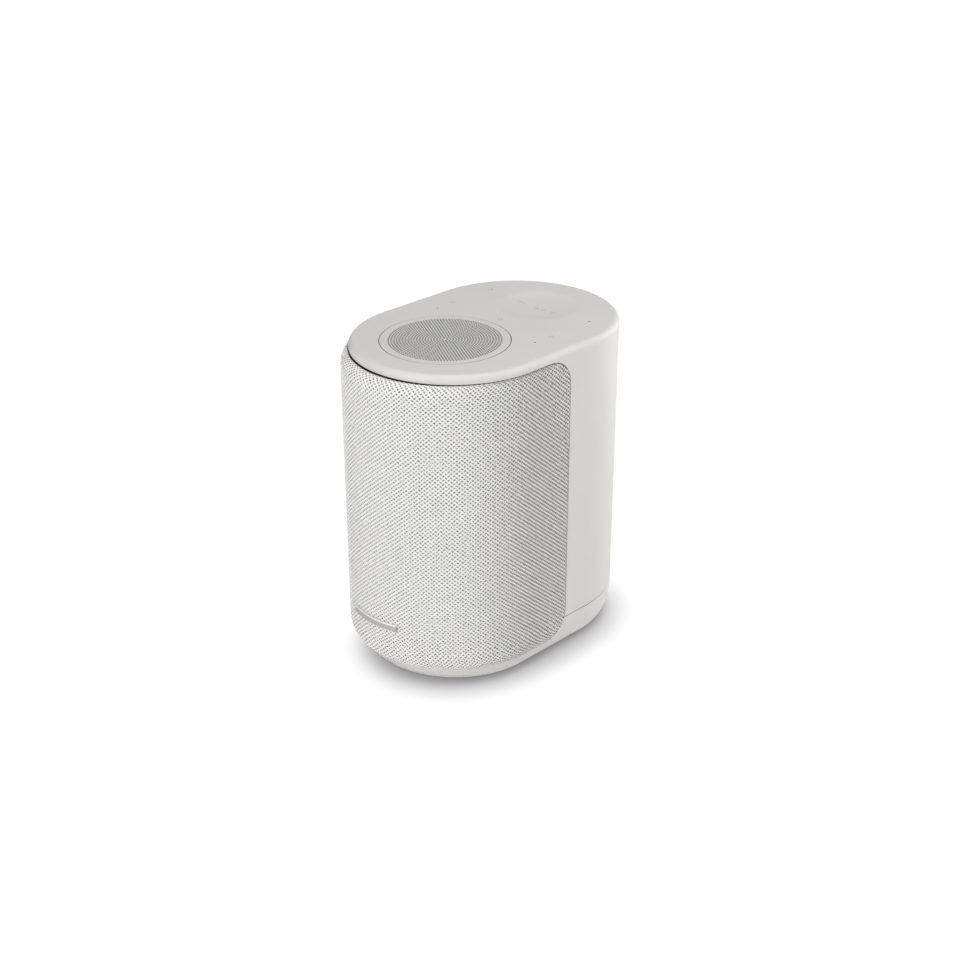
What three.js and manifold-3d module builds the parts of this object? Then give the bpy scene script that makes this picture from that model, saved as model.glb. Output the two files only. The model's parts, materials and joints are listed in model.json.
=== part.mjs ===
// A mains smart speaker: an oval upright body with a wrap-around cloth grille, an upward driver
// under a perforated disc, a forward woofer and tweeter, two side passive radiators and the
// electronics behind the sealed enclosure. Millimetres, +Z up, front towards -Y, +X to the
// listener's right when facing the speaker's front from -Y.
import * as THREE from 'three';
import { mergeVertices } from 'three/addons/utils/BufferGeometryUtils.js';
import Module from 'manifold-3d';

const wasm = await Module();
wasm.setup();

// ---------------------------------------------------------------- driving dimensions
const HEIGHT = 184;
const SIDE_RADIUS = 56.4; // plan radius of the two round ends
const END_OFFSET = 24.5; // the end arcs are centred at y = -END_OFFSET and +END_OFFSET
const BULGE = 7.5; // how far the grille's front tip stands past the plain oval
const SHELL_WALL = 2.8;
const TOP_PLATE = 3.2;
const TOP_FILLET = 3.5;
const GAP = 0.3; // clearance between touching pieces
const PARTING_Z = 20; // base housing below, shell above
const BASE_ROUNDING = 7.4; // the base's inset at the floor
const BASE_FLOOR = 2.8;
const FOOT_LIFT = 0.8;

// The cloth's zone, its rounded rear corners, its upper shoulder and longer lower tuck, and the depth
// that its turned-in lip reaches.
const GRILLE = {
  low: 10.2, high: 179.1, rear: 6.4, corner: 15, shoulder: 6, tuck: 12, cloth: 0.8, wall: 1.8, lip: 4.2,
};
const DISC = { y: -31.1, plate: 35.2, seat: 33, thickness: 2 };
const DISH = { y: 42, radius: 22.5, depth: 1.4 };
const MICS = { x: 37.1, ys: [-1, 42.3], radius: 0.6 };
const LIGHT = { x: 37.1, y: 18.2, radius: 0.7 };
const BASE_SCREW = { x: 29.7, y: 54.2, seat: 12 };
const ENCLOSURE = { half: 48, front: -60, rear: 6.6, low: 25, high: 140, wall: 2.6, inset: 6.4 };
const WOOFER = { z: 64, flange: 38.5, hole: 35.6, boltCircle: 36.1 };
const TWEETER = { z: 123, flange: 17, hole: 11.2 };
const UPWARD = { seat: 171, flange: 32, chamber: 34, wall: 2.2, floor: 142.3 };
const RADIATOR = { y: -17, z: 82, halfLength: 42, halfWidth: 22 };
const BADGE = { z: 35.5, halfAngle: 17, halfHeight: 2.1, stand: 1.3 };
const INLET = { z: 35, width: 22, height: 14, front: 78.6, depth: 16, mouthWidth: 14.6, mouthHeight: 8.4 };

const END_SEGMENTS = 9; // a half circle takes twice as many facets
const ROUNDING_STEPS = 3; // facets down each shoulder of the grille

// ---------------------------------------------------------------- materials
const finish = (color, roughness, metalness = 0) =>
  new THREE.MeshStandardMaterial({ color, roughness, metalness });
const MATERIAL = {
  shell: finish('#dddcd8', 0.5),
  cloth: finish('#cfcdc8', 0.95),
  disc: finish('#d6d6d2', 0.5),
  blackPlastic: finish('#1d1d1f', 0.6),
  rubber: finish('#2a2a2b', 0.85),
  foam: finish('#3a3a3c', 0.95),
  paper: finish('#2d2c2b', 0.9),
  steel: finish('#a9abad', 0.35, 0.9),
  magnet: finish('#4b4a4a', 0.55, 0.3),
  aluminium: finish('#b9bbbe', 0.4, 0.9),
  copper: finish('#b06c3c', 0.35, 0.9),
  board: finish('#1f5a3a', 0.5),
  badge: finish('#c9c8c5', 0.3, 0.8),
  lens: finish('#f4f4f2', 0.2),
  film: finish('#c58a3a', 0.4),
};

// ---------------------------------------------------------------- solids
/** A closed three.js geometry as a manifold-3d solid that faces outwards. */
function solid(geometry) {
  const bare = geometry.index ? geometry.toNonIndexed() : geometry.clone();
  bare.deleteAttribute('normal');
  bare.deleteAttribute('uv');
  const merged = mergeVertices(bare, 1e-4);
  const vertProperties = merged.attributes.position.array;
  const corners = Array.from(merged.index.array);
  const triVerts = [];
  for (let i = 0; i < corners.length; i += 3) {
    const [a, b, c] = corners.slice(i, i + 3);
    if (a !== b && b !== c && c !== a) triVerts.push(a, b, c);
  }
  const build = (indices) =>
    new wasm.Manifold(new wasm.Mesh({ numProp: 3, vertProperties, triVerts: new Uint32Array(indices) }));
  const made = build(triVerts);
  return made.volume() > 0 ? made : build(triVerts.reverse());
}

/** A manifold-3d solid as a three.js geometry with flat-shaded facets. */
function geometryOf(manifold) {
  const mesh = manifold.getMesh();
  const geometry = new THREE.BufferGeometry();
  geometry.setAttribute('position', new THREE.BufferAttribute(new Float32Array(mesh.vertProperties), 3));
  geometry.setIndex(new THREE.BufferAttribute(new Uint32Array(mesh.triVerts), 1));
  const flat = geometry.toNonIndexed();
  flat.computeVertexNormals();
  return flat;
}

const join = (...solids) => solids.reduce((sum, next) => sum.add(next));
const cut = (body, ...tools) => tools.reduce((left, tool) => left.subtract(tool), body);

/** A box from its lowest to its highest corner. */
function block([x0, x1], [y0, y1], [z0, z1]) {
  const box = new THREE.BoxGeometry(x1 - x0, y1 - y0, z1 - z0);
  return solid(box.translate((x0 + x1) / 2, (y0 + y1) / 2, (z0 + z1) / 2));
}

/** An upright cylinder between two heights, centred at (x, y). */
function post(radius, z0, z1, x = 0, y = 0, segments = 12) {
  const cylinder = new THREE.CylinderGeometry(radius, radius, z1 - z0, segments).rotateX(Math.PI / 2);
  return solid(cylinder.translate(x, y, (z0 + z1) / 2));
}

/** A cylinder along Y, centred at (x, z). */
function postY(radius, y0, y1, x, z, segments = 16) {
  const cylinder = new THREE.CylinderGeometry(radius, radius, y1 - y0, segments);
  return solid(cylinder.translate(x, (y0 + y1) / 2, z));
}

/** A body of revolution about Z from its [radius, height] profile, which closes on itself. */
function turned(profile, segments = 20) {
  const points = profile.map(([radius, height]) => new THREE.Vector2(radius, height));
  if (profile[0][0] > 0) points.push(points[0].clone());
  return solid(new THREE.LatheGeometry(points, segments).rotateX(Math.PI / 2));
}

const tube = (inner, outer, z0, z1, segments) =>
  turned([[inner, z0], [outer, z0], [outer, z1], [inner, z1]], segments);

/** The plan outline: two round ends joined by straight sides; bulge stretches the front end. */
function oval(radius, bulge = 0, offset = END_OFFSET) {
  const shape = new THREE.Shape();
  shape.moveTo(radius, -offset);
  shape.lineTo(radius, offset);
  shape.absarc(0, offset, radius, 0, Math.PI);
  shape.lineTo(-radius, -offset);
  shape.absellipse(0, -offset, radius, radius + bulge, Math.PI, 2 * Math.PI);
  return shape;
}

/** An upright prism of a plan outline between two heights. */
function prism(shape, z0, z1, segments = END_SEGMENTS) {
  const plain = { depth: z1 - z0, bevelEnabled: false, curveSegments: segments };
  return solid(new THREE.ExtrudeGeometry(shape, plain).translate(0, 0, z0));
}

/** An upright prism whose two ends are rounded in by an elliptical bevel. */
function rounded(shape, z0, z1, inset, reach, steps) {
  const bevel = { bevelThickness: reach, bevelSize: inset, bevelOffset: -inset, bevelSegments: steps };
  const geometry = new THREE.ExtrudeGeometry(shape, { depth: z1 - z0, curveSegments: END_SEGMENTS, ...bevel });
  return solid(geometry.translate(0, 0, z0));
}

/** The grille's body, inset all over: its front swells by BULGE between its shoulder and its tuck. */
function swollen(inset) {
  const steps = 2 * ROUNDING_STEPS + 1;
  const radius = SIDE_RADIUS - inset;
  const geometry = new THREE.ExtrudeGeometry(oval(radius), {
    depth: steps, steps, bevelEnabled: false, curveSegments: END_SEGMENTS,
  });
  const place = geometry.attributes.position;
  for (let i = 0; i < place.count; i += 1) {
    const step = Math.round(place.getZ(i));
    const upper = step > ROUNDING_STEPS;
    const turn = (Math.PI / 2) * Math.abs(step - ROUNDING_STEPS - (upper ? 1 : 0)) / ROUNDING_STEPS;
    const drop = (upper ? GRILLE.shoulder : GRILLE.tuck) * (1 - Math.sin(turn)) + inset;
    const swell = (BULGE / radius) * Math.cos(turn);
    const ahead = Math.min(place.getY(i) + END_OFFSET, 0);
    place.setY(i, place.getY(i) + ahead * swell);
    place.setZ(i, upper ? GRILLE.high - drop : GRILLE.low + drop);
  }
  return solid(geometry);
}

/** The region that the grille covers, seen from the side: round-cornered at the rear. */
function grilleZone(grow) {
  const rear = GRILLE.rear + grow;
  const low = GRILLE.low - grow;
  const high = GRILLE.high + grow;
  const corner = GRILLE.corner + grow;
  const side = new THREE.Shape();
  side.moveTo(-HEIGHT, low);
  side.lineTo(rear - corner, low);
  side.absarc(rear - corner, low + corner, corner, -Math.PI / 2, 0);
  side.lineTo(rear, high - corner);
  side.absarc(rear - corner, high - corner, corner, 0, Math.PI / 2);
  side.lineTo(-HEIGHT, high);
  const across = { depth: 2 * HEIGHT, bevelEnabled: false, curveSegments: 8 };
  const geometry = new THREE.ExtrudeGeometry(side, across);
  const sideways = new THREE.Matrix4().makeBasis(
    new THREE.Vector3(0, 1, 0), new THREE.Vector3(0, 0, 1), new THREE.Vector3(1, 0, 0));
  return solid(geometry.translate(0, 0, -HEIGHT).applyMatrix4(sideways));
}

/** A flat plate with round ends, long along X, between two heights. */
function racetrack(halfLength, halfWidth, z0, z1, segments = 4) {
  const straight = halfLength - halfWidth;
  const shape = new THREE.Shape();
  shape.absarc(straight, 0, halfWidth, -Math.PI / 2, Math.PI / 2);
  shape.absarc(-straight, 0, halfWidth, Math.PI / 2, 1.5 * Math.PI);
  return prism(shape, z0, z1, segments);
}

/** A pan-head screw along Z: the head's underside is at height seat, the shank points down. */
function screwSolid(shank, length, head, seat = 0) {
  return join(post(head, seat, seat + head * 0.7, 0, 0, 10), post(shank, seat - length, seat + 0.2, 0, 0, 8));
}

// ---------------------------------------------------------------- assembly helpers
const speaker = new THREE.Group();
speaker.position.y = (BULGE + BADGE.stand) / 2; // the origin is the middle of the footprint, on the floor

function add(name, body, material, parent = speaker) {
  const mesh = new THREE.Mesh(geometryOf(body), material);
  mesh.name = name;
  parent.add(mesh);
  return mesh;
}

/** A group at a place, whose +Z is turned to the direction that a driver faces. */
function facing(direction, x, y, z) {
  const group = new THREE.Group();
  group.position.set(x, y, z);
  group.quaternion.setFromUnitVectors(new THREE.Vector3(0, 0, 1), new THREE.Vector3(...direction));
  speaker.add(group);
  return group;
}

const FOUR_CORNERS = [[1, -1], [1, 1], [-1, 1], [-1, -1]];

/** Four places on a circle, at 45 degrees to the axes. */
const onCircle = (radius) =>
  FOUR_CORNERS.map(([sx, sy]) => [sx * radius * Math.SQRT1_2, sy * radius * Math.SQRT1_2]);

// ---------------------------------------------------------------- outer casing
function addShell() {
  const outer = rounded(oval(SIDE_RADIUS), PARTING_Z, HEIGHT - TOP_FILLET, TOP_FILLET, TOP_FILLET, 4);
  const trimmed = cut(outer, block([-HEIGHT, HEIGHT], [-HEIGHT, HEIGHT], [0, PARTING_Z + GAP]));
  const inner = prism(oval(SIDE_RADIUS - SHELL_WALL), 0, HEIGHT - TOP_PLATE);
  const dishSphere = (DISH.radius ** 2 + DISH.depth ** 2) / (2 * DISH.depth);
  const dishCurve = [0, 1, 2, 3, 4].map((step) => {
    const radius = (DISH.radius * step) / 4;
    return [radius, HEIGHT - DISH.depth + dishSphere - Math.sqrt(dishSphere ** 2 - radius ** 2)];
  });
  const dish = turned([...dishCurve, [DISH.radius, HEIGHT + 5], [0, HEIGHT + 5]], 32).translate([0, DISH.y, 0]);
  const pinholes = MICS.ys.flatMap((y) =>
    [-1, 1].map((side) => post(MICS.radius, HEIGHT - 10, HEIGHT + 5, side * MICS.x, y, 8)));
  const bosses = [-1, 1].map((side) => {
    const x = side * BASE_SCREW.x;
    const web = block([-1.5, 1.5], [0, 14], [PARTING_Z + 6, 44])
      .rotate([0, 0, side * -45])
      .translate([x, BASE_SCREW.y, 0]);
    const column = join(post(4.4, BASE_SCREW.seat + GAP, 44, x, BASE_SCREW.y), web);
    return cut(column, post(1.6, 0, 42, x, BASE_SCREW.y, 8)).intersect(prism(oval(SIDE_RADIUS - 1), 0, HEIGHT));
  });
  const body = cut(
    trimmed, inner, grilleZone(0.4), dish, ...pinholes,
    post(DISC.plate + GAP, HEIGHT - DISC.thickness - GAP, HEIGHT + 5, 0, DISC.y, 40),
    post(DISC.seat, HEIGHT - 10, HEIGHT + 5, 0, DISC.y, 40),
    post(LIGHT.radius + GAP, HEIGHT - 10, HEIGHT + 5, LIGHT.x, LIGHT.y, 8),
    block([-INLET.width / 2 - GAP, INLET.width / 2 + GAP], [60, 90],
      [INLET.z - INLET.height / 2 - GAP, INLET.z + INLET.height / 2 + GAP]),
  );
  add('top_back_shell', join(body, ...bosses), MATERIAL.shell);
}

function addBase() {
  const bowl = (inset, floor, steps) =>
    rounded(oval(SIDE_RADIUS - inset), PARTING_Z, 3 * PARTING_Z, BASE_ROUNDING, PARTING_Z - floor, steps);
  const outer = cut(bowl(0, FOOT_LIFT, 4), block([-HEIGHT, HEIGHT], [-HEIGHT, HEIGHT], [PARTING_Z, HEIGHT]));
  const hollow = cut(outer, bowl(SHELL_WALL, FOOT_LIFT + BASE_FLOOR, 2));
  const spigot = cut(prism(oval(SIDE_RADIUS - SHELL_WALL - GAP), 12, PARTING_Z + 4.5),
    prism(oval(SIDE_RADIUS - SHELL_WALL - 3.7), 0, HEIGHT));
  const behindGrille = cut(grilleZone(GAP), prism(oval(SIDE_RADIUS - GRILLE.lip - GAP), 0, HEIGHT));
  const footGroove = footRing(GAP, FOOT_LIFT - 5, 2.3);
  const columns = FOUR_CORNERS.map(([sx, sy]) =>
    post(5, FOOT_LIFT + 1.6, BASE_SCREW.seat, sx * BASE_SCREW.x, sy * BASE_SCREW.y));
  const boardPosts = FOUR_CORNERS.map(([sx, sy]) => post(3, 3, 26.4, sx * 20, 38 + sy * 17, 10));
  const bores = FOUR_CORNERS.flatMap(([sx, sy]) => [
    post(3.4, 0, 6, sx * BASE_SCREW.x, sy * BASE_SCREW.y, 12),
    post(1.6, 0, 15, sx * BASE_SCREW.x, sy * BASE_SCREW.y, 8),
  ]);
  add('base_housing', cut(join(hollow, spigot, ...columns, ...boardPosts), behindGrille, footGroove, ...bores),
    MATERIAL.shell);
  add('foot_pad', footRing(0, 0, 2), MATERIAL.rubber);
  FOUR_CORNERS.forEach(([sx, sy], index) => {
    const screw = screwSolid(1.3, 14, 3).rotate([180, 0, 0]);
    const place = [sx * BASE_SCREW.x, sy * BASE_SCREW.y, 5.7];
    add(`base_screw_${index + 1}`, screw.translate(place), MATERIAL.steel);
  });
}

/** The oval ring of the rubber foot, grown by a clearance. */
function footRing(grow, z0, z1) {
  return cut(prism(oval(46 + grow), z0, z1), prism(oval(38 - grow), z0 - 1, z1 + 1));
}

// ---------------------------------------------------------------- front grille
function addGrille() {
  const cloth = cut(swollen(0), swollen(GRILLE.cloth), prism(oval(SIDE_RADIUS - GRILLE.lip), 0, HEIGHT));
  const { posts, bar } = badge();
  add('grille_fabric', cut(cloth.intersect(grilleZone(0)), ...posts(1.3)), MATERIAL.cloth);
  const inset = GRILLE.cloth + GAP;
  const core = prism(oval(SIDE_RADIUS - GRILLE.lip), 0, HEIGHT);
  const frame = cut(swollen(inset), swollen(inset + GRILLE.wall), core).intersect(grilleZone(-inset));
  add('grille_frame', cut(frame, ...grilleSlots(), ...posts(1.3)), MATERIAL.blackPlastic);
  add('badge_bar', join(bar, ...posts(1)), MATERIAL.badge);
}

/** Upright sound slots: radial round the front, square to the flat sides. */
function grilleSlots() {
  const slots = [];
  const rows = [46, 94, 142];
  const slot = (angle, y, z) => block([0, 20], [-3, 3], [z - 20, z + 20])
    .translate([SIDE_RADIUS - 12, 0, 0])
    .rotate([0, 0, angle])
    .translate([0, y, 0]);
  for (const z of rows) {
    for (let angle = 186; angle < 356; angle += 12) slots.push(slot(angle, -END_OFFSET, z));
    for (const y of [-16, -7]) slots.push(slot(0, y, z), slot(180, y, z));
  }
  return slots;
}

/** A plain bar along the front of the cloth, with two pins through to the frame. */
function badge() {
  const { z, halfAngle, halfHeight, stand } = BADGE;
  const tip = new THREE.Shape();
  const radiusX = SIDE_RADIUS + GAP;
  const radiusY = SIDE_RADIUS + BULGE + GAP;
  const from = ((270 - halfAngle) * Math.PI) / 180;
  const to = ((270 + halfAngle) * Math.PI) / 180;
  tip.absellipse(0, -END_OFFSET, radiusX, radiusY, from, to);
  tip.absellipse(0, -END_OFFSET, SIDE_RADIUS + stand, SIDE_RADIUS + BULGE + stand, to, from, true);
  const bar = prism(tip, z - halfHeight, z + halfHeight, 5);
  const posts = (radius) => [-9, 9].map((x) => {
    const front = -END_OFFSET - radiusY * Math.sqrt(1 - (x / radiusX) ** 2);
    return postY(radius, front - 0.4, front + 4.5, x, z, 8);
  });
  return { posts, bar };
}

// ---------------------------------------------------------------- top controls and disc
function addTop() {
  const low = HEIGHT - DISC.thickness;
  const slots = [];
  for (let ring = 1; ring <= 4; ring += 1) {
    const middle = ring * 6.9;
    const band = tube(middle - 2, middle + 2, low - 1, HEIGHT + 1, 18);
    const spokes = [0, 60, 120].map((angle) =>
      block([-40, 40], [-1, 1], [low - 2, HEIGHT + 2]).rotate([0, 0, angle]));
    slots.push(cut(band, ...spokes));
  }
  const plate = cut(post(DISC.plate, low, HEIGHT, 0, 0, 40), ...slots);
  add('top_grille_disc', plate.translate([0, DISC.y, 0]), MATERIAL.disc);

  const film = cut(
    block([-43, 43], [6, 62], [HEIGHT - TOP_PLATE - 0.8, HEIGHT - TOP_PLATE - GAP])
      .intersect(prism(oval(SIDE_RADIUS - 8), 0, HEIGHT)),
    block([MICS.x - 4.2, 60], [-30, 52], [0, HEIGHT]),
    block([-60, -MICS.x + 4.2], [-30, 52], [0, HEIGHT]),
  );
  add('touch_film', film, MATERIAL.film);
  const board = cut(
    block([-42, 42], [-6, 60], [177.6, 179.2]).intersect(prism(oval(SIDE_RADIUS - 6), 0, HEIGHT)),
    post(37.5, 0, HEIGHT, 0, DISC.y, 32),
    block([-12, 12], [50, 70], [0, HEIGHT]),
  );
  add('touch_board', board, MATERIAL.board);
  for (const [name, side] of [['left', -1], ['right', 1]]) {
    const strip = cut(
      block([MICS.x - 3.8, MICS.x + 3.8], [MICS.ys[0] - 3, MICS.ys[1] + 3], [179.5, HEIGHT - TOP_PLATE - GAP]),
      ...MICS.ys.map((y) => post(1, 0, HEIGHT, MICS.x, y, 8)),
      post(2.6, 0, HEIGHT, LIGHT.x, LIGHT.y, 12),
    );
    add(`microphone_seal_${name}`, side > 0 ? strip : strip.mirror([1, 0, 0]), MATERIAL.foam);
  }
  const pipe = join(post(2.2, 179.5, 180.4, 0, 0, 12), post(LIGHT.radius, 180, HEIGHT - 0.1, 0, 0, 8));
  add('light_pipe', pipe.translate([LIGHT.x, LIGHT.y, 0]), MATERIAL.lens);
}

// ---------------------------------------------------------------- drivers
/** Moving-coil woofer, facing the listener; local +Z is the way it plays. */
function addWoofer() {
  const group = facing([0, -1, 0], 0, ENCLOSURE.front, WOOFER.z);
  const basket = turned([
    [34.6, 0.3], [WOOFER.flange, 0.3], [WOOFER.flange, 2.5], [33.2, 2.5], [33.2, 0.5], [22.6, -16.4],
    [20.2, -16.4], [20.2, -25], [13, -25], [13, -26.5], [21.7, -26.5], [21.7, -17.8], [23.4, -17.8],
  ]);
  const windows = [0, 90, 180, 270].map((angle) =>
    block([24, 32], [-8, 8], [-16, -2.2]).rotate([0, 0, angle]));
  const boltHoles = onCircle(WOOFER.boltCircle).map(([x, y]) => post(1.25, -1, 4, x, y, 8));
  add('woofer_basket', cut(basket, ...windows, ...boltHoles), MATERIAL.steel, group);
  add('woofer_surround', turned([
    [27.4, 2.8], [28.2, 4.4], [30.2, 5.3], [32.2, 4.4], [33, 2.8], [34.3, 2.8], [34.3, 3.3], [33.3, 3.3],
    [32.5, 4.8], [30.2, 5.9], [27.9, 4.8], [27.1, 3.2], [27.1, 2.8],
  ]), MATERIAL.rubber, group);
  add('woofer_cone', turned([[26.8, 2.6], [25.6, 2.6], [10.8, -10.4], [10.8, -11.6], [26, 1.7], [26.8, 1.7]]),
    MATERIAL.paper, group);
  add('woofer_dust_cap', turned([
    [0, -7.4], [4.8, -8], [8.8, -10], [9.9, -10.9], [10.4, -10.6], [9.4, -9.6], [5, -7.4], [0, -6.8],
  ]), MATERIAL.paper, group);
  add('woofer_voice_coil', tube(9.6, 10.2, -33, -11.2, 24), MATERIAL.copper, group);
  add('woofer_spider', turned([
    [10.6, -15.6], [12.8, -14.8], [15, -16.1], [17.2, -14.8], [18.6, -16.1], [22, -16.1], [22, -15.6],
    [18.8, -15.6], [17.2, -14.2], [15, -15.4], [12.8, -14.2], [10.6, -15],
  ], 24), MATERIAL.film, group);
  add('woofer_top_plate', tube(10.8, 22, -31, -26.8, 24), MATERIAL.steel, group);
  add('woofer_magnet', tube(13.5, 26, -41, -31.3, 24), MATERIAL.magnet, group);
  const pole = join(post(24, -45, -41.3, 0, 0, 24), post(9, -45, -27, 0, 0, 20));
  add('woofer_pole_piece', pole, MATERIAL.steel, group);
  onCircle(WOOFER.boltCircle).forEach(([x, y], index) => {
    add(`woofer_screw_${index + 1}`, screwSolid(0.95, 8, 1.7, 2.8).translate([x, y, 0]), MATERIAL.steel, group);
  });
}

/** Soft-dome tweeter above the woofer. */
function addTweeter() {
  const group = facing([0, -1, 0], 0, ENCLOSURE.front, TWEETER.z);
  add('tweeter_faceplate', turned([
    [10.8, 0.3], [TWEETER.flange, 0.3], [TWEETER.flange, 2.3], [13.6, 2.3], [10.8, 1.1],
  ]), MATERIAL.blackPlastic, group);
  add('tweeter_dome', turned([
    [10.3, 0.9], [7.6, 2.8], [4, 3.9], [0, 4.3], [0, 3.9], [3.9, 3.5], [7.3, 2.5], [9.8, 0.9],
  ], 24), MATERIAL.cloth, group);
  add('tweeter_motor', post(10.6, -13, 0.3, 0, 0, 24), MATERIAL.magnet, group);
}

/** Upward driver in its own sealed cup under the perforated disc. */
function addUpwardDriver() {
  const group = facing([0, 0, 1], 0, DISC.y, UPWARD.seat);
  const floor = UPWARD.floor - UPWARD.seat;
  add('upward_chamber', turned([
    [0, floor], [UPWARD.chamber - 3, floor], [UPWARD.chamber, floor + 3], [UPWARD.chamber, 0], [30.6, 0],
    [30.6, floor + UPWARD.wall], [0, floor + UPWARD.wall],
  ]), MATERIAL.blackPlastic, group);
  const basket = turned([
    [28.6, 0.3], [UPWARD.flange, 0.3], [UPWARD.flange, 2], [27.2, 2], [27.2, 0.6], [16.6, -12.4],
    [9.4, -12.4], [9.4, -14.4], [17.8, -14.4],
  ]);
  const windows = [0, 90, 180, 270].map((angle) =>
    block([18, 26], [-6, 6], [-11.8, -2]).rotate([0, 0, angle]));
  add('upward_basket', cut(basket, ...windows), MATERIAL.steel, group);
  add('upward_surround', turned([
    [22.3, 2.3], [23, 3.6], [24.6, 4.3], [26.2, 3.6], [27, 2.3], [28.4, 2.3], [28.4, 2.8], [27.3, 2.8],
    [26.5, 4], [24.6, 4.9], [22.7, 4], [21.9, 2.3],
  ], 28), MATERIAL.rubber, group);
  add('upward_cone', turned([
    [21.5, 2.2], [20.6, 2.2], [8.6, -5.4], [0, -3.6], [0, -4.3], [8.5, -6.3], [20.9, 1.4], [21.5, 1.4],
  ], 28), MATERIAL.paper, group);
  add('upward_voice_coil', tube(7.6, 8.1, -19, -6.8, 20), MATERIAL.copper, group);
  add('upward_yoke', turned([[0, -25.4], [16, -25.4], [16, -14.8], [8.7, -14.8], [8.7, -22.6], [0, -22.6]], 24),
    MATERIAL.steel, group);
  add('upward_magnet', post(7, -22.3, -15, 0, 0, 20), MATERIAL.magnet, group);
  const underDisc = HEIGHT - DISC.thickness - GAP - UPWARD.seat;
  add('upward_seal', tube(29.2, 31.8, 2.3, underDisc, 32), MATERIAL.foam, group);
}

/** Oval passive radiator on one side of the enclosure. */
function addPassiveRadiator(name, side) {
  const group = facing([side, 0, 0], side * ENCLOSURE.half, RADIATOR.y, RADIATOR.z);
  const { halfLength, halfWidth } = RADIATOR;
  const ring = (margin, width, z0, z1) => cut(
    racetrack(halfLength - margin, halfWidth - margin, z0, z1),
    racetrack(halfLength - margin - width, halfWidth - margin - width, z0 - 1, z1 + 1));
  add(`radiator_frame_${name}`, ring(0, 5, 0.3, 2.3), MATERIAL.blackPlastic, group);
  const roll = join(ring(5.3, 4.6, 0.3, 0.9), ring(6.2, 2.8, 0.8, 1.6), ring(6.8, 1.6, 1.5, 2.2));
  add(`radiator_surround_${name}`, roll, MATERIAL.rubber, group);
  const plate = racetrack(halfLength - 10.2, halfWidth - 10.2, -1.2, 0.8);
  add(`radiator_plate_${name}`, join(plate, post(8, -5.2, -1, 0, 0, 16)), MATERIAL.aluminium, group);
}

// ---------------------------------------------------------------- sealed enclosure
function addEnclosure() {
  const { half, front, rear, low, high, wall, inset } = ENCLOSURE;
  const hull = (shrink) => prism(oval(SIDE_RADIUS - inset - shrink, BULGE), low + shrink, high - shrink)
    .intersect(block([-half + shrink, half - shrink], [front + shrink, HEIGHT], [0, HEIGHT]));
  const tub = cut(hull(0), hull(wall), block([-HEIGHT, HEIGHT], [rear, HEIGHT], [0, HEIGHT]));
  const baseBosses = [-1, 1].map((side) => cut(
    post(4.4, BASE_SCREW.seat + GAP, low + 1.5, side * BASE_SCREW.x, -BASE_SCREW.y + 1.2),
    post(1.6, 0, low - 1, side * BASE_SCREW.x, -BASE_SCREW.y, 8)));
  const openings = [
    postY(WOOFER.hole, front - 5, front + 10, 0, WOOFER.z, 32),
    postY(TWEETER.hole, front - 5, front + 10, 0, TWEETER.z, 24),
    ...[-1, 1].map((side) => racetrack(RADIATOR.halfLength - 4, RADIATOR.halfWidth - 4, -6, 6)
      .rotate([0, 90, 0])
      .translate([side * half, RADIATOR.y, RADIATOR.z])),
    ...wooferPilotHoles(),
  ];
  add('enclosure_tub', cut(join(tub, ...baseBosses), ...openings), MATERIAL.blackPlastic);

  const lidFront = rear + GAP;
  const lid = hull(0).intersect(block([-HEIGHT, HEIGHT], [lidFront, lidFront + 3], [0, HEIGHT]));
  add('enclosure_lid', cut(lid, postY(2.2, 0, 30, 20, 40, 12)), MATERIAL.blackPlastic);
}

/** Pilot holes in the baffle for the woofer's four screws. */
function wooferPilotHoles() {
  const { front } = ENCLOSURE;
  return onCircle(WOOFER.boltCircle).map(([x, z]) => postY(1.25, front - 5, front + 6, x, WOOFER.z + z, 8));
}

// ---------------------------------------------------------------- electronics
function addElectronics() {
  add('power_board', block([-24, 24], [17, 59], [26.7, 28.3]), MATERIAL.board);
  const core = block([-22, 2], [24, 46], [28.6, 50]);
  add('transformer', join(core, block([-18, -2], [21, 49], [33, 46])), MATERIAL.magnet);
  add('bulk_capacitor', post(8.5, 28.6, 54, 14, 34, 16), MATERIAL.blackPlastic);
  add('main_board', block([-40, 40], [20, 21.6], [66, 166]), MATERIAL.board);
  const fins = [-20, -12, -4, 4, 12, 20].map((x) => block([x - 1, x + 1], [24, 38], [78, 126]));
  add('heat_sink', join(block([-24, 24], [21.9, 24.5], [78, 126]), ...fins), MATERIAL.aluminium);
  const antenna = block([-0.5, 0.5], [-14, 14], [130, 142]).rotate([0, 0, 35]);
  add('antenna', antenna.translate([44, 42, 0]), MATERIAL.board);
  addInlet();
}

/** Two-pin mains inlet: a socket body open to the rear, with its two contact pins. */
function addInlet() {
  const { z, width, height, front, depth, mouthWidth, mouthHeight } = INLET;
  const flange = block([-width / 2, width / 2], [front - 3, front], [z - height / 2, z + height / 2]);
  const barrel = block([-width / 2 + 1.5, width / 2 - 1.5], [front - depth, front - 2],
    [z - height / 2 + 1, z + height / 2 - 1]);
  const mouth = join(
    block([-mouthWidth / 2 + mouthHeight / 2, mouthWidth / 2 - mouthHeight / 2], [front - depth + 3, front + 2],
      [z - mouthHeight / 2, z + mouthHeight / 2]),
    ...[-1, 1].map((side) =>
      postY(mouthHeight / 2, front - depth + 3, front + 2, side * (mouthWidth - mouthHeight) / 2, z, 16)));
  const pinAt = (side, radius) => postY(radius, front - depth - 3.5, front - 3.5, side * 4.3, z, 12);
  add('inlet_socket', cut(join(flange, barrel), mouth, pinAt(-1, 1.5), pinAt(1, 1.5)), MATERIAL.blackPlastic);
  add('inlet_pin_left', pinAt(-1, 1.18), MATERIAL.steel);
  add('inlet_pin_right', pinAt(1, 1.18), MATERIAL.steel);
}

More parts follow.
